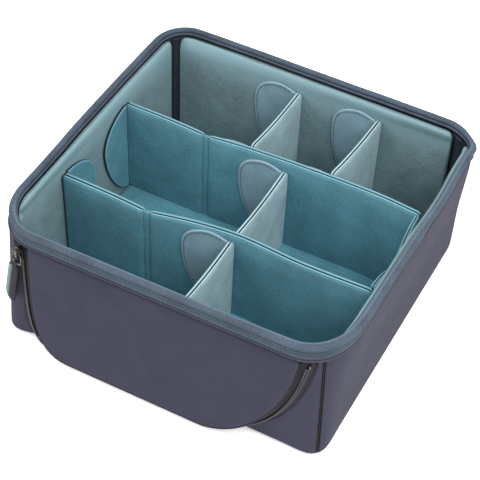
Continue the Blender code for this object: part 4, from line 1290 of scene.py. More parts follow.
@dataclass
class Door:
    """The leaning padded door in the front wall, hung from the rim."""

    plan: Plan
    finishes: Finishes
    fabric: float = 1.2 * MM  # its thickness
    hinge: float = 0.1105  # height of the hinge line
    drop: float = 0.1070  # length of the door down its face
    proud: float = 0.0165  # how far its foot stands out
    piping: float = 0.9 * MM  # its radius
    top_gap: float = 0.6 * MM  # gap between the hinge line and the door
    top_left: float = 0.1160  # from the middle to the door's edge at its top, and then at its foot
    top_right: float = 0.12475
    foot_left: float = 0.0770
    foot_right: float = 0.0490
    open_left: float = 0.1310  # the same for the opening
    open_right: float = 0.1365
    open_foot_left: float = 0.1140
    open_foot_right: float = 0.0700
    open_low: float = 5.0 * MM  # height of the opening's foot
    pad_limit: float = 0.1270  # how far right the opening in the front pad reaches
    pad_out: float = 4.2 * MM  # depth of the door pad's outer face
    pad_in: float = 10.0 * MM  # depth of its inner face
    pad_inset: float = 5.0 * MM  # how far it stays inside the door's edge
    base_round: float = 8.0 * MM  # radius of the bend under the base
    crown: float = 1.6 * MM  # how far the fabric swells
    steps: int = 44  # points down each side
    # What bends the sides, as (share of the width, share of the drop).
    door_left: tuple = ((1.0, 0.0), (0.974, 0.56), (0.975, 0.995))
    door_right: tuple = ((1.0, 0.0), (0.988, 0.40), (0.756, 0.935))
    opening_left: tuple = ((1.0, 0.0), (0.893, 0.34), (1.03, 0.99))
    opening_right: tuple = ((1.0, 0.0), (0.966, 0.34), (0.845, 0.79))

    def curve(self, left: list, right: list, skip: float, foot_steps: int = 14) -> Array:
        """Points (across, drop) down a left curve, along the foot and up a right curve.

        Args:
            left: Ends and pulls of the left curve, from the top.
            right: The same for the right one.
            skip: Share of each curve that is left out at the top.
            foot_steps: Steps along the foot.

        Returns:
            Rows of (across, drop).
        """
        shares = np.linspace(skip, 1, self.steps)
        down, up = bezier(left, shares), bezier(right, shares[::-1])
        between = np.linspace(0, 1, foot_steps + 1)[1:-1, None]
        foot = down[-1] + (up[0] - down[-1]) * between
        return np.concatenate([down, foot, up])

    def door_curve(self, skip: float = 0.0) -> Array:
        """The door's edge in its own plane: (across, distance down from the hinge)."""
        left = [(-self.top_left * x, self.drop * s) for x, s in self.door_left]
        left += [(-self.foot_left, self.drop)]
        right = [(self.top_right * x, self.drop * s) for x, s in self.door_right]
        right += [(self.foot_right, self.drop)]
        return self.curve(left, right, skip)

    def opening_curve(self, skip: float = 0.0) -> Array:
        """The edge of the opening: (across, distance down from the hinge)."""
        drop = self.hinge - self.open_low
        left = [(-self.open_left * x, drop * s) for x, s in self.opening_left]
        left += [(-self.open_foot_left, drop)]
        right = [(self.open_right * x, drop * s) for x, s in self.opening_right]
        right += [(self.open_foot_right, drop)]
        return self.curve(left, right, skip)

    def offset(self, points: Array, inset: float) -> Array:
        """The same open curve, moved inside the shape that it goes round.

        Args:
            points: Rows of (across, drop).
            inset: How far it moves.

        Returns:
            The moved rows.
        """
        along = np.empty_like(points)
        along[1:-1] = points[2:] - points[:-2]
        along[0], along[-1] = points[1] - points[0], points[-1] - points[-2]
        return points + unit(np.stack([along[:, 1], -along[:, 0]], axis=1)) * inset

    def place(self, flat: Array, back: Array | float) -> Array:
        """Points of the leaning door.

        Args:
            flat: Rows of (across, distance down from the hinge).
            back: Distance behind the door's face.

        Returns:
            Points in space.
        """
        lean = -math.asin(self.proud / self.drop)
        across, down = flat[..., 0], flat[..., 1]
        back = np.broadcast_to(back, across.shape)
        y = back * math.cos(lean) + down * math.sin(lean)
        z = back * math.sin(lean) - down * math.cos(lean)
        return np.stack([across, y - self.plan.half_depth, z + self.hinge], axis=-1)

    def closed_edge(self, inset: float) -> Array:
        """The door's whole outline at an inset, with its straight top.

        Args:
            inset: How far inside its edge.

        Returns:
            Rows of (across, drop).
        """
        edge = self.offset(self.door_curve(), inset)
        edge[:, 1] = np.maximum(edge[:, 1], self.top_gap)
        shares = np.linspace(0, 1, 50)[1:-1, None]
        top = edge[-1] + (edge[0] - edge[-1]) * shares
        return np.concatenate([edge, top])

    def layer(
        self,
        name: str,
        rim: Sequence[tuple[float, float]],
        face: float,
        back: float,
        crown: float,
        finish: bpy.types.Material,
    ) -> bpy.types.Object:
        """A layer of the door, crowned on its outer or its inner face.

        Args:
            name: The piece's name.
            rim: Rows of (edge inset, depth behind the face) round its edge, outer face first.
            face: Depth of its outer face.
            back: Depth of its inner face.
            crown: How far the faces swell, outwards below zero.
            finish: Its material.

        Returns:
            The new object.
        """
        edge = self.closed_edge(rim[0][0])
        middle = np.array([0.0, self.drop * 0.45])
        rings, tones = [], []
        shares = np.concatenate([np.linspace(0.02, 0.86, 18), (0.90, 0.93, 0.96, 0.985)])
        ripple = Ripple(41, 0.22 * MM, 150 * MM, 3)
        for share in shares:
            flat = middle + (edge - middle) * share
            swell = crown * (1 - share**7)
            depth = face + swell + ripple.at(self.place(flat, face)) * (1 - share**4) * np.sign(crown)
            rings.append(self.place(flat, depth if crown < 0 else face))
            tones.append(0.0)
        # The rings round the edge are painted paler: a painted highlight where the layer turns over its edge.
        for inset, depth in rim:
            rings.append(self.place(self.closed_edge(inset), depth))
            tones.append(0.25 if crown < 0 else 0.5)
        edge = self.closed_edge(rim[-1][0])
        for share in shares[::-1]:
            flat = middle + (edge - middle) * share
            swell = crown * (1 - share**7)
            rings.append(self.place(flat, back + swell if crown > 0 else back))
            tones.append(0.0)
        return lofted(name, np.array(rings), finish, np.array(tones)[:, None], sharp=60, flat=True)

    def opening_prism(self, limit: float) -> Array:
        """The opening's outline, no further right than the limit, as (across, height).

        Args:
            limit: How far right it may reach.

        Returns:
            Rows of (across, height).
        """
        curve = self.opening_curve()
        outline = np.stack([np.minimum(curve[:, 0], limit), self.hinge - curve[:, 1]], axis=1)
        outline[0, 1] = outline[-1, 1] = self.hinge + FIT
        return outline

    def tool(self, outline: Array) -> bpy.types.Object:
        """A body of that outline, right through the front wall.

        Args:
            outline: Rows of (across, height).

        Returns:
            The new object.
        """
        rings = []
        for y in (-self.plan.half_depth - 0.010, -self.plan.half_depth + self.plan.front_left):
            rings.append(np.stack([outline[:, 0], np.full(len(outline), y), outline[:, 1]], axis=1))
        return lofted("opening_tool", np.array(rings), self.finishes.board)

    def opening_tool(self) -> bpy.types.Object:
        """What the door's opening takes out of the fabric."""
        return self.tool(self.opening_prism(self.plan.half_width))

    def pad_tool(self) -> bpy.types.Object:
        """What the door's opening takes out of the front pad."""
        right = self.opening_prism(self.pad_limit)[-self.steps :]
        low = -0.010
        ends = [(-2 * self.plan.half_width, self.hinge + FIT), (-2 * self.plan.half_width, low)]
        return self.tool(np.concatenate([[(right[0, 0], low)], right, ends]))

    def build(self) -> None:
        """Makes and dresses the door's fabric, pad and piping."""
        edge = 2 * self.piping - 0.2 * MM
        rim = [(edge, 0.35 * MM), (edge + 0.1 * MM, self.fabric)]
        panel = self.layer("door_panel", rim, 0.0, self.fabric, -self.crown, self.finishes.shell)
        dress(panel, "door", ["door_fabric"])
        inset = self.pad_inset
        bend, back = self.pad_in - 3.5 * MM, self.pad_in - 0.4 * MM
        rim = [(inset, self.pad_out), (inset, bend)]
        for turn in (0.5, 1.0, 1.5):
            rim.append((inset + 2.2 * MM * (1 - math.cos(turn)), bend + 3.0 * MM * math.sin(turn)))
        pad = self.layer("door_cushion", rim, self.pad_out, back, 0.4 * MM, self.finishes.lining)
        dress(pad, "door", ["door_pad"])
        line = self.place(self.offset(self.door_curve(0.012), self.piping), self.piping)
        rings = rod_rings(resample(line, 1.5 * MM), self.piping, 12)
        rod = lofted("door_edge_piping", rings, self.finishes.piping)
        dress(rod, "door", ["door_piping"])


@dataclass
class Zip:
    """The zip round the door: two woven tapes, two nylon coils and the slider's rubber pull."""

    plan: Plan
    finishes: Finishes
    door: Door
    tape: float = 0.8 * MM  # its thickness
    coil_width: float = 2.2 * MM
    coil_height: float = 1.8 * MM
    gap: float = 0.6 * MM  # distance between the two tapes
    tooth: float = 1.6 * MM  # length of one turn of a coil
    bite: float = -0.12 * MM  # from the zip's middle to a coil, below zero where the turns interlock
    out: tuple = (-0.2796, -0.9553, 0.0958)  # the way outwards at the pull
    pull_foot: tuple = (-0.125127, -0.145488, 0.091593)  # where the narrow end of the pull lies
    pull_hang: tuple = (-0.1932, -0.0418, -0.9803)  # the way that it hangs
    pull_width: float = 11.6 * MM
    pull_aside: float = -2.0 * MM  # how far its leaf stands to one side of that end
    pull_slant: float = 2.4 * MM  # how far its lower end slants

    def wall_face(self, across: float, height: float) -> float:
        """Where the outer face of the front wall lies, at a place across and a height.

        Args:
            across: The place across.
            height: The height.

        Returns:
            Its y.
        """
        side = math.copysign(1, across)
        plan = self.plan
        radius = plan.front_left if side < 0 else plan.front_right
        base = self.door.base_round
        below = max(base - height, 0)
        turns = np.linspace(0, math.pi / 2, 721)
        rows = np.empty((len(turns), 5))
        rows[:] = (side * (plan.half_width - radius), radius - plan.half_depth, radius, 0, 0)
        rows[:, 3], rows[:, 4] = side * np.sin(turns), -np.cos(turns)
        points = plan.sweep(rows, np.array([(0.0, height)]))[:, 0]
        y = float(np.interp(abs(across), side * points[:, 0], points[:, 1]))
        return y + base - math.sqrt(base**2 - below**2)

    def frames(self, skip: float, step: float) -> tuple[Array, Array, Array, Array]:
        """Places along the zip.

        Args:
            skip: Share of the curve that is left out at each end.
            step: Distance between places.

        Returns:
            The zip's middle, the way to the wall, the way outwards and the half width.
        """
        door = self.door
        edge = door.offset(door.door_curve(skip), door.piping)
        inner = door.place(edge, 2 * door.piping + FIT)
        curve = door.opening_curve(skip)
        outer = np.array([(x, self.wall_face(x, door.hinge - s), door.hinge - s) for x, s in curve])
        both = resample(np.concatenate([(inner + outer) / 2, (outer - inner) / 2], axis=1), step)
        middle, half = both[:, :3], both[:, 3:]
        out = unit(np.cross(unit(half), ways_along(middle)))
        return middle, unit(half), out, np.linalg.norm(half, axis=1)

    def strip(self, name: str, wall: bool) -> bpy.types.Object:
        """One tape of the zip, darker along its edges and with a paler stripe on the wall's tape.

        Args:
            name: The piece's name.
            wall: Whether it is the tape on the wall, or else the one on the door.

        Returns:
            The new object.
        """
        middle, side, out, half = self.frames(0.015, 2.5 * MM)
        sign = 1 if wall else -1
        # The dark stripes along both edges are painted shade, next to the coil and under the cloth's edge;
        # the wall's tape has a paler stripe down its middle.
        shares = np.array([0.0, 0.2, 0.34, 0.38, 0.5, 0.62, 0.66, 0.8, 0.9, 1.0])
        tones = [-0.6, -0.2, 0.0, 0.0, 0.05, 0.0, -0.1, -0.3, -0.8, -0.9]
        if wall:
            tones = [-0.6, -0.3, -0.5, 0.25, 0.4, 0.25, -0.6, -0.4, 0.1, -0.7]
        near = self.gap / 2
        far = half - (FIT if wall else 0.0)
        reach = near + (far[:, None] - near) * shares
        sag = 0.25 * MM * np.sin(shares * math.pi)
        rows = []
        for height in (-sag, np.full(len(shares), -self.tape)):
            row = middle[:, None] + sign * side[:, None] * reach[..., None]
            rows.append(row + out[:, None] * height[:, None])
        rings = np.concatenate([rows[0], rows[1][:, ::-1]], axis=1)
        return lofted(name, rings, self.finishes.zip_tape, np.array(tones + tones[::-1]))

    def coil(self, name: str, sign: int) -> bpy.types.Object:
        """One nylon coil with its turns.

        Args:
            name: The piece's name.
            sign: 1 for the wall's coil, -1 for the door's.

        Returns:
            The new object.
        """
        middle, side, out, _ = self.frames(0.055, self.tooth / 6)
        turns = np.linspace(0, WHOLE_TURN, 10, endpoint=False)
        gone = np.arange(len(middle)) / 6 * WHOLE_TURN + (0 if sign > 0 else math.pi)
        swell = 0.84 + 0.16 * np.cos(gone)
        half_width, half_height = self.coil_width / 2, (self.coil_height - FIT) / 2
        centre = self.bite + half_width
        across = sign * (centre + half_width * np.outer(swell, np.cos(turns)))
        height = FIT + half_height + half_height * np.outer(swell, np.sin(turns))
        rings = middle[:, None] + side[:, None] * across[..., None] + out[:, None] * height[..., None]
        # The crests of the turns are painted paler: painted highlight.
        return lofted(name, rings, self.finishes.nylon, (swell - 0.9)[:, None] * 3, sharp=80)

    def pull(self) -> bpy.types.Object:
        """The rubber pull, drawn as one flat leaf tapered at its foot: one half painted pale, a painted
        highlight where the real folded pull faces the light, and the other half dark.
        """
        foot, hang = np.array(self.pull_foot), unit(np.array(self.pull_hang))
        across = unit(np.cross(np.array(self.out), hang))
        out = np.cross(hang, across)
        shape = ((-0.75, 0.34), (0.6, 0.35), (3.0, 0.4), (4.6, 0.62), (5.6, 0.86), (7.2, 0.97))
        shape += ((10.0, 1.0), (20.0, 1.0), (32.0, 1.0), (38.0, 1.0), (42.0, 0.98), (44.6, 0.9))
        shape += ((46.2, 0.72), (46.9, 0.5), (47.2, 0.15))
        rings, tones = [], []
        turns = np.linspace(0, WHOLE_TURN, 28, endpoint=False)
        for place, width in shape:
            half = self.pull_width / 2 * width
            thick = 1.15 * MM * (0.7 + 0.3 * min(width, 1.0))
            x = half * np.sign(np.cos(turns)) * np.abs(np.cos(turns)) ** 0.35
            h = thick * np.sign(np.sin(turns)) * np.abs(np.sin(turns)) ** 0.6
            aside = self.pull_aside * min(max(place / 6, 0), 1)
            low = place * MM + self.pull_slant * x / half * min(max((place - 30) / 12, 0), 1) * width
            rings.append(foot + np.outer(x + aside, across) + np.outer(low, hang) + np.outer(h, out))
            # Painted highlight: the pale half of the leaf.
            pale = (x < -0.02 * MM) & (x > -0.9 * half) & (place > 6)
            tones.append(np.where(pale, 0.55, -0.2))
        return lofted("pull_leaf", np.array(rings), self.finishes.rubber, np.array(tones), sharp=70)

    def build(self) -> None:
        """Makes and dresses every part of the zip."""
        dress(self.strip("wall_tape", True), "box", ["zip_tape_wall"])
        dress(self.strip("door_tape", False), "door", ["zip_tape_door"])
        dress(self.coil("wall_coil", 1), "box", ["zip_coil_wall"])
        dress(self.coil("door_coil", -1), "door", ["zip_coil_door"])
        dress(self.pull(), "pull tab", ["zip_pull_tab"])


@dataclass
class Line:
    """The plan line of a long divider's middle: straight to its seam, a smooth bend after it."""

    knots: tuple[tuple[float, float], ...]

    def back(self, across: float) -> float:
        """How far back the line lies at a place across the box.

        Args:
            across: The place.

        Returns:
            Its y.
        """
        knots = self.knots
        if across <= knots[1][0]:
            (x0, y0), (x1, y1) = knots[:2]
            return y0 + (y1 - y0) * (across - x0) / (x1 - x0)
        knots = knots[1:]
        k = next((k for k in range(len(knots) - 1) if across <= knots[k + 1][0]), len(knots) - 2)
        (x0, y0), (x1, y1) = knots[k : k + 2]
        before = knots[k - 1] if k else (2 * x0 - x1, 2 * y0 - y1)
        after = knots[k + 2] if k + 2 < len(knots) else (2 * x1 - x0, 2 * y1 - y0)
        span = x1 - x0
        start = (y1 - before[1]) / (x1 - before[0]) * span
        end = (after[1] - y0) / (after[0] - x0) * span
        t = (across - x0) / span
        return (
            (2 * t**3 - 3 * t**2 + 1) * y0
            + (t**3 - 2 * t**2 + t) * start
            + (3 * t**2 - 2 * t**3) * y1
            + (t**3 - t**2) * end
        )

    def moved(self, by: float) -> Callable[[float], float]:
        """The same line further back, as a function of the place across the box."""
        return lambda across: self.back(across) + by


REAR = Line(((-0.1400, 0.0465), (-0.0580, 0.0445), (0.0300, 0.0475), (0.1000, 0.0470), (0.1400, 0.0430)))
FRONT = Line(
    ((-0.1400, -0.0530), (-0.0570, -0.0555), (0.0180, -0.0458), (0.0800, -0.0492), (0.1400, -0.0485))
)


class Edge(Enum):
    """How the edge of a tab is made, by share of its thickness, inset in millimetres and tone. The tones
    paint light and shade: above zero a painted highlight on lips and rims, below zero painted shade in the
    groove and on the side against the wall.
    """

    TWO_LIPS = (
        (0.06, 0.4, 0.4),
        (0.16, 0.0, 0.5),
        (0.36, 0.0, 0.45),
        (0.42, 0.5, -0.8),
        (0.48, 0.9, -1.0),
        (0.54, 0.9, -1.0),
        (0.60, 0.5, -0.8),
        (0.66, 0.0, 0.5),
        (0.88, 0.0, 0.45),
        (0.97, 0.5, 0.3),
        (1.0, 1.5, 0.1),
    )
    ONE_LIP = (
        (0.04, 0.8, -1.0),
        (0.15, 0.1, -1.0),
        (0.55, 0.0, -1.0),
        (0.66, 0.1, -1.0),
        (0.72, 0.1, 0.2),
        (0.88, 0.2, 0.3),
        (0.97, 0.7, 0.25),
        (1.0, 1.6, 0.05),
    )
    ROUNDED = (
        (0.0, 0.5, -0.4),
        (0.15, 0.0, -0.2),
        (0.6, 0.0, 0.4),
        (0.88, 0.3, 0.45),
        (1.0, 0.9, 0.3),
        (1.0, 1.8, 0.15),
        (0.97, 2.3, 0.0),
    )


@dataclass
class Panels:
    """How the padded panels and tabs of all dividers are made."""

    plan: Plan
    foot: float = 12.3 * MM  # height of the dividers' feet
    inner_x: float = 0.140  # from the middle to the pads on the side walls
    inner_y: float = 0.1325  # from the middle to the pads on the front and back walls
    groove: float = 2.0 * MM  # depth of the groove along a top
    lip_highlight: float = 0.55  # how far its lips are painted pale, as painted highlight
    fold_rise: float = 0.8 * MM  # how far a left section's foot rises at the wall

    def section(self, half: float, low: float, high: float) -> tuple[Array, Array]:
        """Two padded skins whose rounded lips meet in a groove along the top, with painted highlight and
        painted shade.

        Args:
            half: Half the thickness.
            low: Height of the foot.
            high: Height of the lips.

        Returns:
            Rows of (side, height), and tones: painted highlight above zero, painted shade below.
        """
        shoulder, lip_out, lip_in = high - 3.2 * MM, 0.66 * half, 0.24 * half
        lip = (lip_out - lip_in) / 2
        heights = np.linspace(0, 1, 20)
        swell = 1 - 0.10 * (1 - smooth_step(heights * 6)) - 0.02 * smooth_step(heights * 8 - 7)
        right = [(half * s, low + (shoulder - low) * h) for s, h in zip(swell, heights)]
        # Painted highlight on the face's upper quarter; painted shade where the shoulder turns in under the
        # lip; painted highlight on the lips; painted shade in the groove.
        tone = [0.16 * max(0.0, (h - 0.75) * 4) ** 1.5 for h in heights]
        for turn in np.radians((20, 45, 70, 90)):
            away = lip_out + (0.98 * half - lip_out) * math.cos(turn)
            right.append((away, shoulder + 2.6 * MM * math.sin(turn)))
            tone.append(0.16 - 0.6 * math.sin(turn) ** 6)
        for turn in np.radians((25, 55, 90, 125, 155, 180)):
            right.append((lip_in + lip * (1 + math.cos(turn)), high - 1.1 * lip * (1 - math.sin(turn))))
            tone.append(self.lip_highlight)
        right += [(lip_in * 0.9, high - self.groove * 0.6), (lip_in * 0.5, high - self.groove)]
        tone += [-1.0, -1.0]
        left = [(-x, z) for x, z in reversed(right)]
        return np.array(right + left), np.array(tone + tone[::-1])

    def wall(
        self,
        name: str,
        places: Array,
        sides: Array,
        halves: Array,
        tops: Array,
        finish: bpy.types.Material,
        shade: Array | float = 0.0,
        feet: Array | float = 0.0,
    ) -> bpy.types.Object:
        """A padded panel along a plan line.

        Args:
            name: The piece's name.
            places: Points (x, y) of its middle.
            sides: The way out of its right-hand face at each place.
            halves: Half thickness at each place.
            tops: Height of its lips at each place.
            finish: Its material.
            shade: How far each place is painted towards the gap colour, as painted shade in a fold.
            feet: How far its foot stands above the plain one at each place.

        Returns:
            The new object.
        """
        rings, tones = [], []
        ripple = Ripple(len(name) * 7, 0.35 * MM, 55 * MM)
        shades, rises = np.broadcast_to(shade, len(places)), np.broadcast_to(feet, len(places))
        for place, side, half, top, painted_shade, rise in zip(places, sides, halves, tops, shades, rises):
            section, tone = self.section(half, self.foot + rise, top)
            x, z = section[:, 0], section[:, 1]
            ring = np.stack([place[0] + side[0] * x + self.plan.lean(z), place[1] + side[1] * x, z], axis=1)
            free = smooth_step((z - self.foot) / (15 * MM)) * smooth_step((top - z) / (12 * MM))
            push = np.sign(x) * np.minimum(ripple.at(ring), 0.1 * MM) * free
            ring[:, :2] += side[None, :] * push[:, None]
            rings.append(ring)
            tones.append(tone * (1 - painted_shade) - painted_shade)
        return lofted(name, np.array(rings), finish, np.array(tones), sharp=75)

    def tab_outline(
        self, reach: float, low: float, high: float, shape: tuple, droop: float = 0.0, steps: int = 46
    ) -> Array:
        """A half-moon, as (reach, height), from its upper root round its tip to its lower root.

        Args:
            reach: How far it reaches.
            low: Height of its lower root.
            high: Height of its top.
            shape: Share of the height at its tip, and how full its head and its foot are.
            droop: How much lower than its top its upper root lies.
            steps: Steps over each half.

        Returns:
            Rows of (reach, height).
        """
        tip_share, head_power, foot_power = shape
        tip = low + (high - low) * tip_share
        angles = np.linspace(0, math.pi / 2, steps)
        u = np.sin(angles)
        head = tip + (high - tip) * np.maximum(1 - u**head_power, 0) ** (1 / head_power)
        foot = tip - (tip - low) * np.maximum(1 - u**foot_power, 0) ** (1 / foot_power)
        head = head - droop * (1 - np.sin(np.minimum(u * reach / (20 * MM), 1) * math.pi / 2))
        upper = np.stack([u * reach, head], axis=1)
        lower = np.stack([u * reach, foot], axis=1)[::-1]
        curve = np.concatenate([upper, lower[1:]])
        gone = distances(curve)
        even = np.linspace(0, gone[-1], 2 * steps)
        return np.stack([np.interp(even, gone, curve[:, k]) for k in (0, 1)], axis=1)

    def tab(
        self,
        name: str,
        place: Callable[[float], tuple[float, float]],
        away: tuple[float, float],
        thick: float,
        outline: Array,
        finish: bpy.types.Material,
        edge: Edge,
    ) -> tuple[bpy.types.Object, Array, Array]:
        """A tab that lies on a wall or on another divider.

        Args:
            name: The piece's name.
            place: Gives the plan point of its back face at a reach.
            away: The way off that face.
            thick: Its thickness.
            outline: Its half-moon, as (reach, height).
            finish: Its material.
            edge: How its edge is made.

        Returns:
            The new object, and the stitch line on its face with the way out of it.
        """
        root = np.linspace(0, 1, 24)[1:-1, None]
        closed = np.concatenate([outline, outline[-1] + (outline[0] - outline[-1]) * root])
        middle = np.array([outline[:, 0].max() * 0.42, closed[:, 1].mean()])
        rings, tones = [], []

        def ring(flat: Array, depth: Array | float) -> Array:
            """The points of one level of the tab."""
            plan = np.array([place(u) for u in flat[:, 0]])
            x = plan[:, 0] + away[0] * depth + self.plan.lean(flat[:, 1])
            y = plan[:, 1] + away[1] * depth
            return np.stack([x, y, flat[:, 1]], axis=1)

        def inset(amount: float) -> Array:
            """The outline moved inside itself."""
            before, after = np.roll(closed, 1, axis=0), np.roll(closed, -1, axis=0)
            way = unit(after - before)
            moved = closed + np.stack([way[:, 1], -way[:, 0]], axis=1) * amount
            moved[:, 0] = np.maximum(moved[:, 0], 0)
            return moved

        for share in (0.03, 0.5, 0.9):
            rings.append(ring(middle + (closed - middle) * share, 0.0))
            tones.append(0.0)
        for depth, back, tone in edge.value:
            rings.append(ring(inset(back * MM), depth * thick))
            tones.append(tone)
        last = inset(edge.value[-1][1] * MM)
        ripple = Ripple(len(name) * 3, 0.25 * MM, 30 * MM)
        for share in (0.93, 0.8, 0.6, 0.35, 0.03):
            flat = middle + (last - middle) * share
            rings.append(ring(flat, thick + ripple.at(ring(flat, thick)) * (1 - share**3)))
            tones.append(0.0)
        made = lofted(name, np.array(rings), finish, np.array(tones)[:, None], sharp=80)
        inner = inset(2.4 * MM)[3 : len(outline) - 3]
        line = ring(inner, thick + 0.12 * MM)
        return made, line, np.tile(np.array([*away, 0.0]), (len(line), 1))


@dataclass
class LongDivider:
    """A divider across the box: two padded sections folded at a seam, a padded tab at each end."""

    name: str
    body: str
    panels: Panels
    finishes: Finishes
    line: Line
    height: float
    toward: int  # whether its tabs fold to the back (1) or to the front (-1)
    reach: float  # how far its tabs reach
    thick: float = 7.0 * MM
    tab_thick: float = 2.8 * MM
    ease: float = 3.2 * MM  # length over which an end gets thinner
    dip: float = 2.5 * MM  # how far its top dips at the seam
    dip_reach: float = 50 * MM  # length over which it dips
    strip: float = 2.7 * MM  # half the width of the seam's ridge
    right_push: float = 1.0 * MM  # how much further right the back of the right tab lies
    tab_shape: tuple = (0.67, 1.9, 1.65)

    def panel(self, name: str, first: float, last: float, seam: float) -> bpy.types.Object:
        """One section of the divider between two places across the box.

        Args:
            name: The piece's name.
            first: Place of its left end.
            last: Place of its right end.
            seam: Place of the fold seam.

        Returns:
            The new object.
        """
        places = steps_between(first, last, 3.0 * MM)
        fine = [first + self.ease * k / 6 for k in range(7)] + [last - self.ease * k / 6 for k in range(7)]
        places = np.unique(np.round(np.concatenate([places, fine]), 6))
        nearest = np.minimum(places - first, last - places)
        at_seam = np.abs(places - seam) < (last - first) / 2
        least = np.where(at_seam, 0.32, 0.72)
        share = least + (1 - least) * np.sqrt(np.clip(nearest / self.ease, 0, 1))
        dips = self.dip * np.maximum(1 - np.abs(places - seam) / self.dip_reach, 0) ** 2
        back = np.array([self.line.back(x) for x in places])
        slope = np.array([self.line.back(x + FIT) - self.line.back(x - FIT) for x in places]) / (2 * FIT)
        sides = unit(np.stack([-slope, np.ones(len(slope))], axis=1))
        tops = self.panels.foot + self.height - dips
        tops = tops - 1.6 * MM * np.where(at_seam, 0, (1 - np.sqrt(np.clip(nearest / self.ease, 0, 1))))
        middle = np.stack([places, back], axis=1)
        is_left = first < 0 and last <= seam
        # The few millimetres of a left section next to the left wall are painted shade, the dark line of its
        # fold against the tab.
        fold = np.minimum(places + self.panels.inner_x, 1.0) if is_left else np.ones(len(places))
        shade = 1 - smooth_step((fold - 1.4 * MM) / (2.0 * MM))
        feet = self.panels.fold_rise * np.clip((seam - places) / (self.panels.inner_x + seam), 0, 1)
        halves = self.thick / 2 * share
        return self.panels.wall(name, middle, sides, halves, tops, self.finishes.teal, shade, feet)

    def build(self) -> None:
        """Makes and dresses the divider's pieces."""
        seam = self.line.knots[1][0]
        edge = self.panels.inner_x - FIT
        left_body = f"{self.body} left panel"
        right = self.panel(f"{self.name}_right_section", seam + self.strip, edge, seam)
        dress(right, self.body, [f"{self.name}_right_panel"])
        left = self.panel(f"{self.name}_left_section", -edge, seam - self.strip, seam)
        dress(left, left_body, [f"{self.name}_left_panel"])
        self.seam_strip(seam, left_body)
        for side, label in ((-1, "left"), (1, "right")):
            wall = side * edge
            start = self.line.back(wall) + self.toward * (self.thick / 2 + FIT)
            low = self.panels.foot + (self.panels.fold_rise if side < 0 else 0.0)
            high = self.panels.foot + self.height
            outline = self.panels.tab_outline(self.reach, low, high, self.tab_shape)
            back = wall + (self.right_push if side > 0 else 0.0)
            made, _, _ = self.panels.tab(
                f"{self.name}_{label}_wing",
                lambda u, back=back, start=start: (back, start + self.toward * u),
                (-side, 0),
                self.tab_thick + (self.right_push if side > 0 else 0.0),
                outline,
                self.finishes.teal,
                Edge.TWO_LIPS if side > 0 else Edge.ONE_LIP,
            )
            dress(made, f"{self.body} {label} tab", [f"{self.name}_{label}_tab"])

    def seam_strip(self, seam: float, left_body: str) -> None:
        """The narrow ridge between the two rows of stitches, where the real divider bends as it folds; it is
        put on no body.

        Args:
            seam: Its place across the box.
            left_body: The body of the left section.
        """
        places = seam + np.linspace(-1, 1, 13) * (self.strip + 0.3 * MM)
        share = np.sqrt(np.maximum(1 - ((places - seam) / (self.strip + 0.5 * MM)) ** 2, 0))
        halves = self.thick / 2 * (0.24 + 0.30 * share)
        middle = np.stack([places, [self.line.back(x) for x in places]], axis=1)
        sides = np.tile([0.0, 1.0], (len(places), 1))
        tops = np.full(len(places), self.panels.foot + self.height - self.dip - 0.3 * MM)
        made = self.panels.wall(f"{self.name}_seam_ridge", middle, sides, halves, tops, self.finishes.teal)
        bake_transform(made)
        log.info("%s across %s and %s", made.name, left_body, self.body)


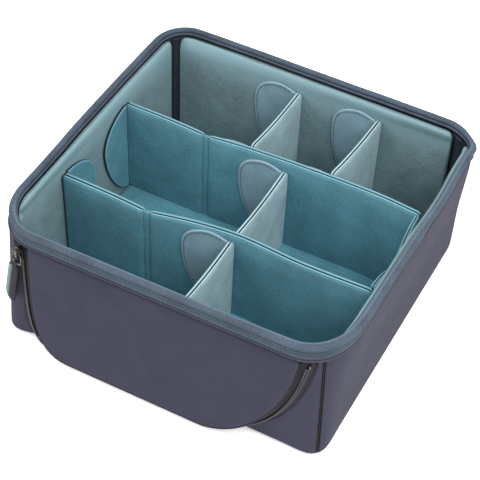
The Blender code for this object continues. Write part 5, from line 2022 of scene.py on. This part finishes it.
@dataclass
class ShortDivider:
    """A divider along the box: a padded panel with a felt tab folded to the left at each end."""

    name: str
    body: str
    panels: Panels
    finishes: Finishes
    front_x: float  # place across the box of its front end
    back_x: float  # place across the box of its back end
    front_face: Callable[[float], float]  # what its front end touches
    back_face: Callable[[float], float]  # what its back end touches
    height: float
    thick: float = 6.0 * MM
    scoop: float = 3.0 * MM  # how far its top sags in the middle
    tab_thick: float = 1.6 * MM
    tab_reach: float = 40 * MM
    tab_rise: float = 3.0 * MM  # how far the back tab stands above its top
    corner: float = 4.5 * MM  # rounding of its upper corners
    tab_shape: tuple = (0.72, 3.0, 1.85)

    def build(self) -> None:
        """Makes and dresses the divider's pieces."""
        half = self.thick / 2
        front_y = max(self.front_face(self.front_x - half), self.front_face(self.front_x + half)) + FIT
        back_y = min(self.back_face(self.back_x - half), self.back_face(self.back_x + half)) - FIT
        start, end = np.array([self.front_x, front_y]), np.array([self.back_x, back_y])
        length = np.linalg.norm(end - start)
        along = (end - start) / length
        ease = half / length
        fine = self.corner / length * (1 - np.cos(np.linspace(0, math.pi / 2, 10)))
        shares = np.unique(np.round(np.concatenate([np.linspace(0, 1, 30), fine, 1 - fine]), 6))
        nearest = np.minimum(shares, 1 - shares) / ease
        thin = 0.72 + 0.28 * np.sqrt(np.clip(nearest, 0, 1))
        tops = self.panels.foot + self.height - self.scoop * 4 * shares * (1 - shares)
        gone = np.clip(1 - np.minimum(shares, 1 - shares) * length / self.corner, 0, 1)
        tops = tops - self.corner * (1 - np.sqrt(1 - gone**2)) * 0.8
        middle = start + (end - start) * shares[:, None]
        sides = np.tile([along[1], -along[0]], (len(shares), 1))
        panel = self.panels.wall(f"{self.name}_section", middle, sides, half * thin, tops, self.finishes.grey)
        dress(panel, self.body, [f"{self.name}_panel"])
        ends = (
            ("front", self.front_face, self.front_x, 1, -2.3 * MM, 1.5 * MM),
            ("back", self.back_face, self.back_x, -1, self.tab_rise, self.tab_rise + 2.6 * MM),
        )
        for label, face, centre, away, rise, droop in ends:
            root = centre - half - FIT
            low, high = self.panels.foot, self.panels.foot + self.height + rise
            outline = self.panels.tab_outline(self.tab_reach, low, high, self.tab_shape, droop)
            made, line, out = self.panels.tab(
                f"{self.name}_{label}_felt",
                lambda u, root=root, face=face, away=away: (root - u, face(root - u) + away * FIT),
                (0, away),
                self.tab_thick,
                outline,
                self.finishes.felt,
                Edge.ROUNDED,
            )
            body = f"{self.body} {label} tab"
            dress(made, body, [f"{self.name}_{label}_tab"])
            name = f"{self.name}_{label}_felt_stitches"
            row = stitches(name, line, out, self.finishes.dark_thread, 3.0 * MM, 0.6, 0.34 * MM)
            dress(row, body)


@dataclass
class Dividers:
    """All six dividers."""

    panels: Panels
    finishes: Finishes

    def build(self) -> None:
        """Makes and dresses them."""
        half = LongDivider.thick / 2
        inner = self.panels.inner_y
        shared = (self.panels, self.finishes)
        long = (
            LongDivider("rear_divider", "rear divider", *shared, REAR, 0.0965, -1, 0.036),
            LongDivider("front_divider", "front divider", *shared, FRONT, 0.0930, 1, 0.040),
        )
        short = (
            ("rear_short_divider_left", -0.0165, -0.0134, REAR.moved(half), lambda x: inner, 0.0970),
            ("rear_short_divider_right", 0.0577, 0.0635, REAR.moved(half), lambda x: inner, 0.0970),
            ("middle_short_divider", 0.0185, 0.0187, FRONT.moved(half), REAR.moved(-half), 0.0890),
            ("front_short_divider", 0.0165, 0.0182, lambda x: -inner, FRONT.moved(-half), 0.0890),
        )
        for divider in long:
            divider.build()
        for name, front_x, back_x, front_face, back_face, height in short:
            body = name.replace("_", " ")
            ShortDivider(name, body, *shared, front_x, back_x, front_face, back_face, height).build()
        self.floor_stitches()

    def floor_stitches(self) -> None:
        """The stitched line on the floor in front of the rear long divider."""
        across = steps_between(-0.128, 0.128, 4 * MM)
        lean = self.panels.plan.lean(12 * MM)
        line = np.array([(x + lean, REAR.back(x) - 9.0 * MM, 11.85 * MM) for x in across])
        up = np.tile([0.0, 0.0, 1.0], (len(line), 1))
        row = stitches("floor_stitches", line, up, self.finishes.thread, 3.4 * MM, 0.7, 0.2 * MM)
        dress(row, "box")


@dataclass
class Studio:
    """Floor, soft light and camera."""

    finishes: Finishes
    eye: tuple[float, float, float] = (0.3872, -0.7306, 0.8982)
    azimuth: float = 28.04
    elevation: float = 45.8
    roll: float = 0.61
    lens: float = 104.7

    def build(self) -> None:
        """Makes the studio."""
        self.floor()
        self.sky()
        self.lamp("key_softbox", (0.75, -0.35, 1.35), 1.1, 26.0)
        self.lamp("fill_softbox", (-1.0, -0.8, 1.2), 1.4, 12.0)
        self.camera()
        bpy.context.scene.view_settings.view_transform = "Standard"

    def floor(self) -> None:
        """A large matt floor."""
        mesh = bpy.data.meshes.new("studio_floor")
        reach = 6.0
        corners = [(-reach, -reach, 0), (reach, -reach, 0), (reach, reach, 0), (-reach, reach, 0)]
        mesh.from_pydata(corners, [], [(0, 1, 2, 3)])
        mesh.materials.append(self.finishes.floor)
        floor = bpy.data.objects.new("studio_floor", mesh)
        floor.location.z = -0.4 * MM
        bpy.context.scene.collection.objects.link(floor)

    def sky(self) -> None:
        """Even white light from all round."""
        world = bpy.data.worlds.new("studio_light")
        world.use_nodes = True
        background = world.node_tree.nodes["Background"]
        background.inputs["Color"].default_value = (1, 1, 1, 1)
        background.inputs["Strength"].default_value = 0.95
        bpy.context.scene.world = world

    def lamp(self, name: str, place: tuple[float, float, float], size: float, power: float) -> None:
        """A square softbox that looks at the insert.

        Args:
            name: Its name.
            place: Where it hangs.
            size: Its width.
            power: Its power in watts.
        """
        data = bpy.data.lights.new(name, "AREA")
        data.size = size
        data.energy = power
        lamp = bpy.data.objects.new(name, data)
        lamp.location = place
        aim = Vector((0, 0, 0.06)) - Vector(place)
        lamp.rotation_euler = aim.to_track_quat("-Z", "Y").to_euler()
        bpy.context.scene.collection.objects.link(lamp)

    def camera(self) -> None:
        """The camera where the photograph was taken from."""
        azimuth, elevation, roll = (math.radians(a) for a in (self.azimuth, self.elevation, self.roll))
        flat = math.cos(elevation)
        back = Vector((math.sin(azimuth) * flat, -math.cos(azimuth) * flat, math.sin(elevation)))
        right = Vector((math.cos(azimuth), math.sin(azimuth), 0))
        up = back.cross(right)
        tilted = right * math.cos(roll) + up * math.sin(roll)
        upward = back.cross(tilted)
        data = bpy.data.cameras.new("photo_camera")
        data.lens = self.lens
        data.sensor_width = 36
        camera = bpy.data.objects.new("photo_camera", data)
        turn = Matrix((tilted, upward, back)).transposed()
        camera.matrix_world = Matrix.Translation(self.eye) @ turn.to_4x4()
        bpy.context.scene.collection.objects.link(camera)
        bpy.context.scene.camera = camera


def finish_solids(finishes: Finishes) -> None:
    """Gives the solids that stay their finishes.

    Args:
        finishes: All finishes.
    """
    walls = ("front_wall", "back_wall", "left_wall", "right_wall")
    boards = [f"{place}_board" for place in (*walls, "base", "door")]
    metal = ["zip_slider", "zip_pull_ring", "zip_stop_left", "zip_stop_right"]
    for names, finish in ((boards, finishes.board), (metal, finishes.zinc)):
        for name in names:
            for slot in frame["nodes"][name].material_slots:
                slot.material = finish


def main() -> None:
    """Builds the insert and its studio."""
    logging.basicConfig(level=logging.INFO, format="%(name)s: %(message)s")
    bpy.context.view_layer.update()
    finishes = Finishes()
    plan = Plan()
    door = Door(plan, finishes)
    Shell(plan, finishes, door).build()
    Rim(plan, finishes).build()
    Linings(plan, finishes).build(door)
    door.build()
    Zip(plan, finishes, door).build()
    Dividers(Panels(plan), finishes).build()
    finish_solids(finishes)
    Studio(finishes).build()


if __name__ == "__main__":
    main()
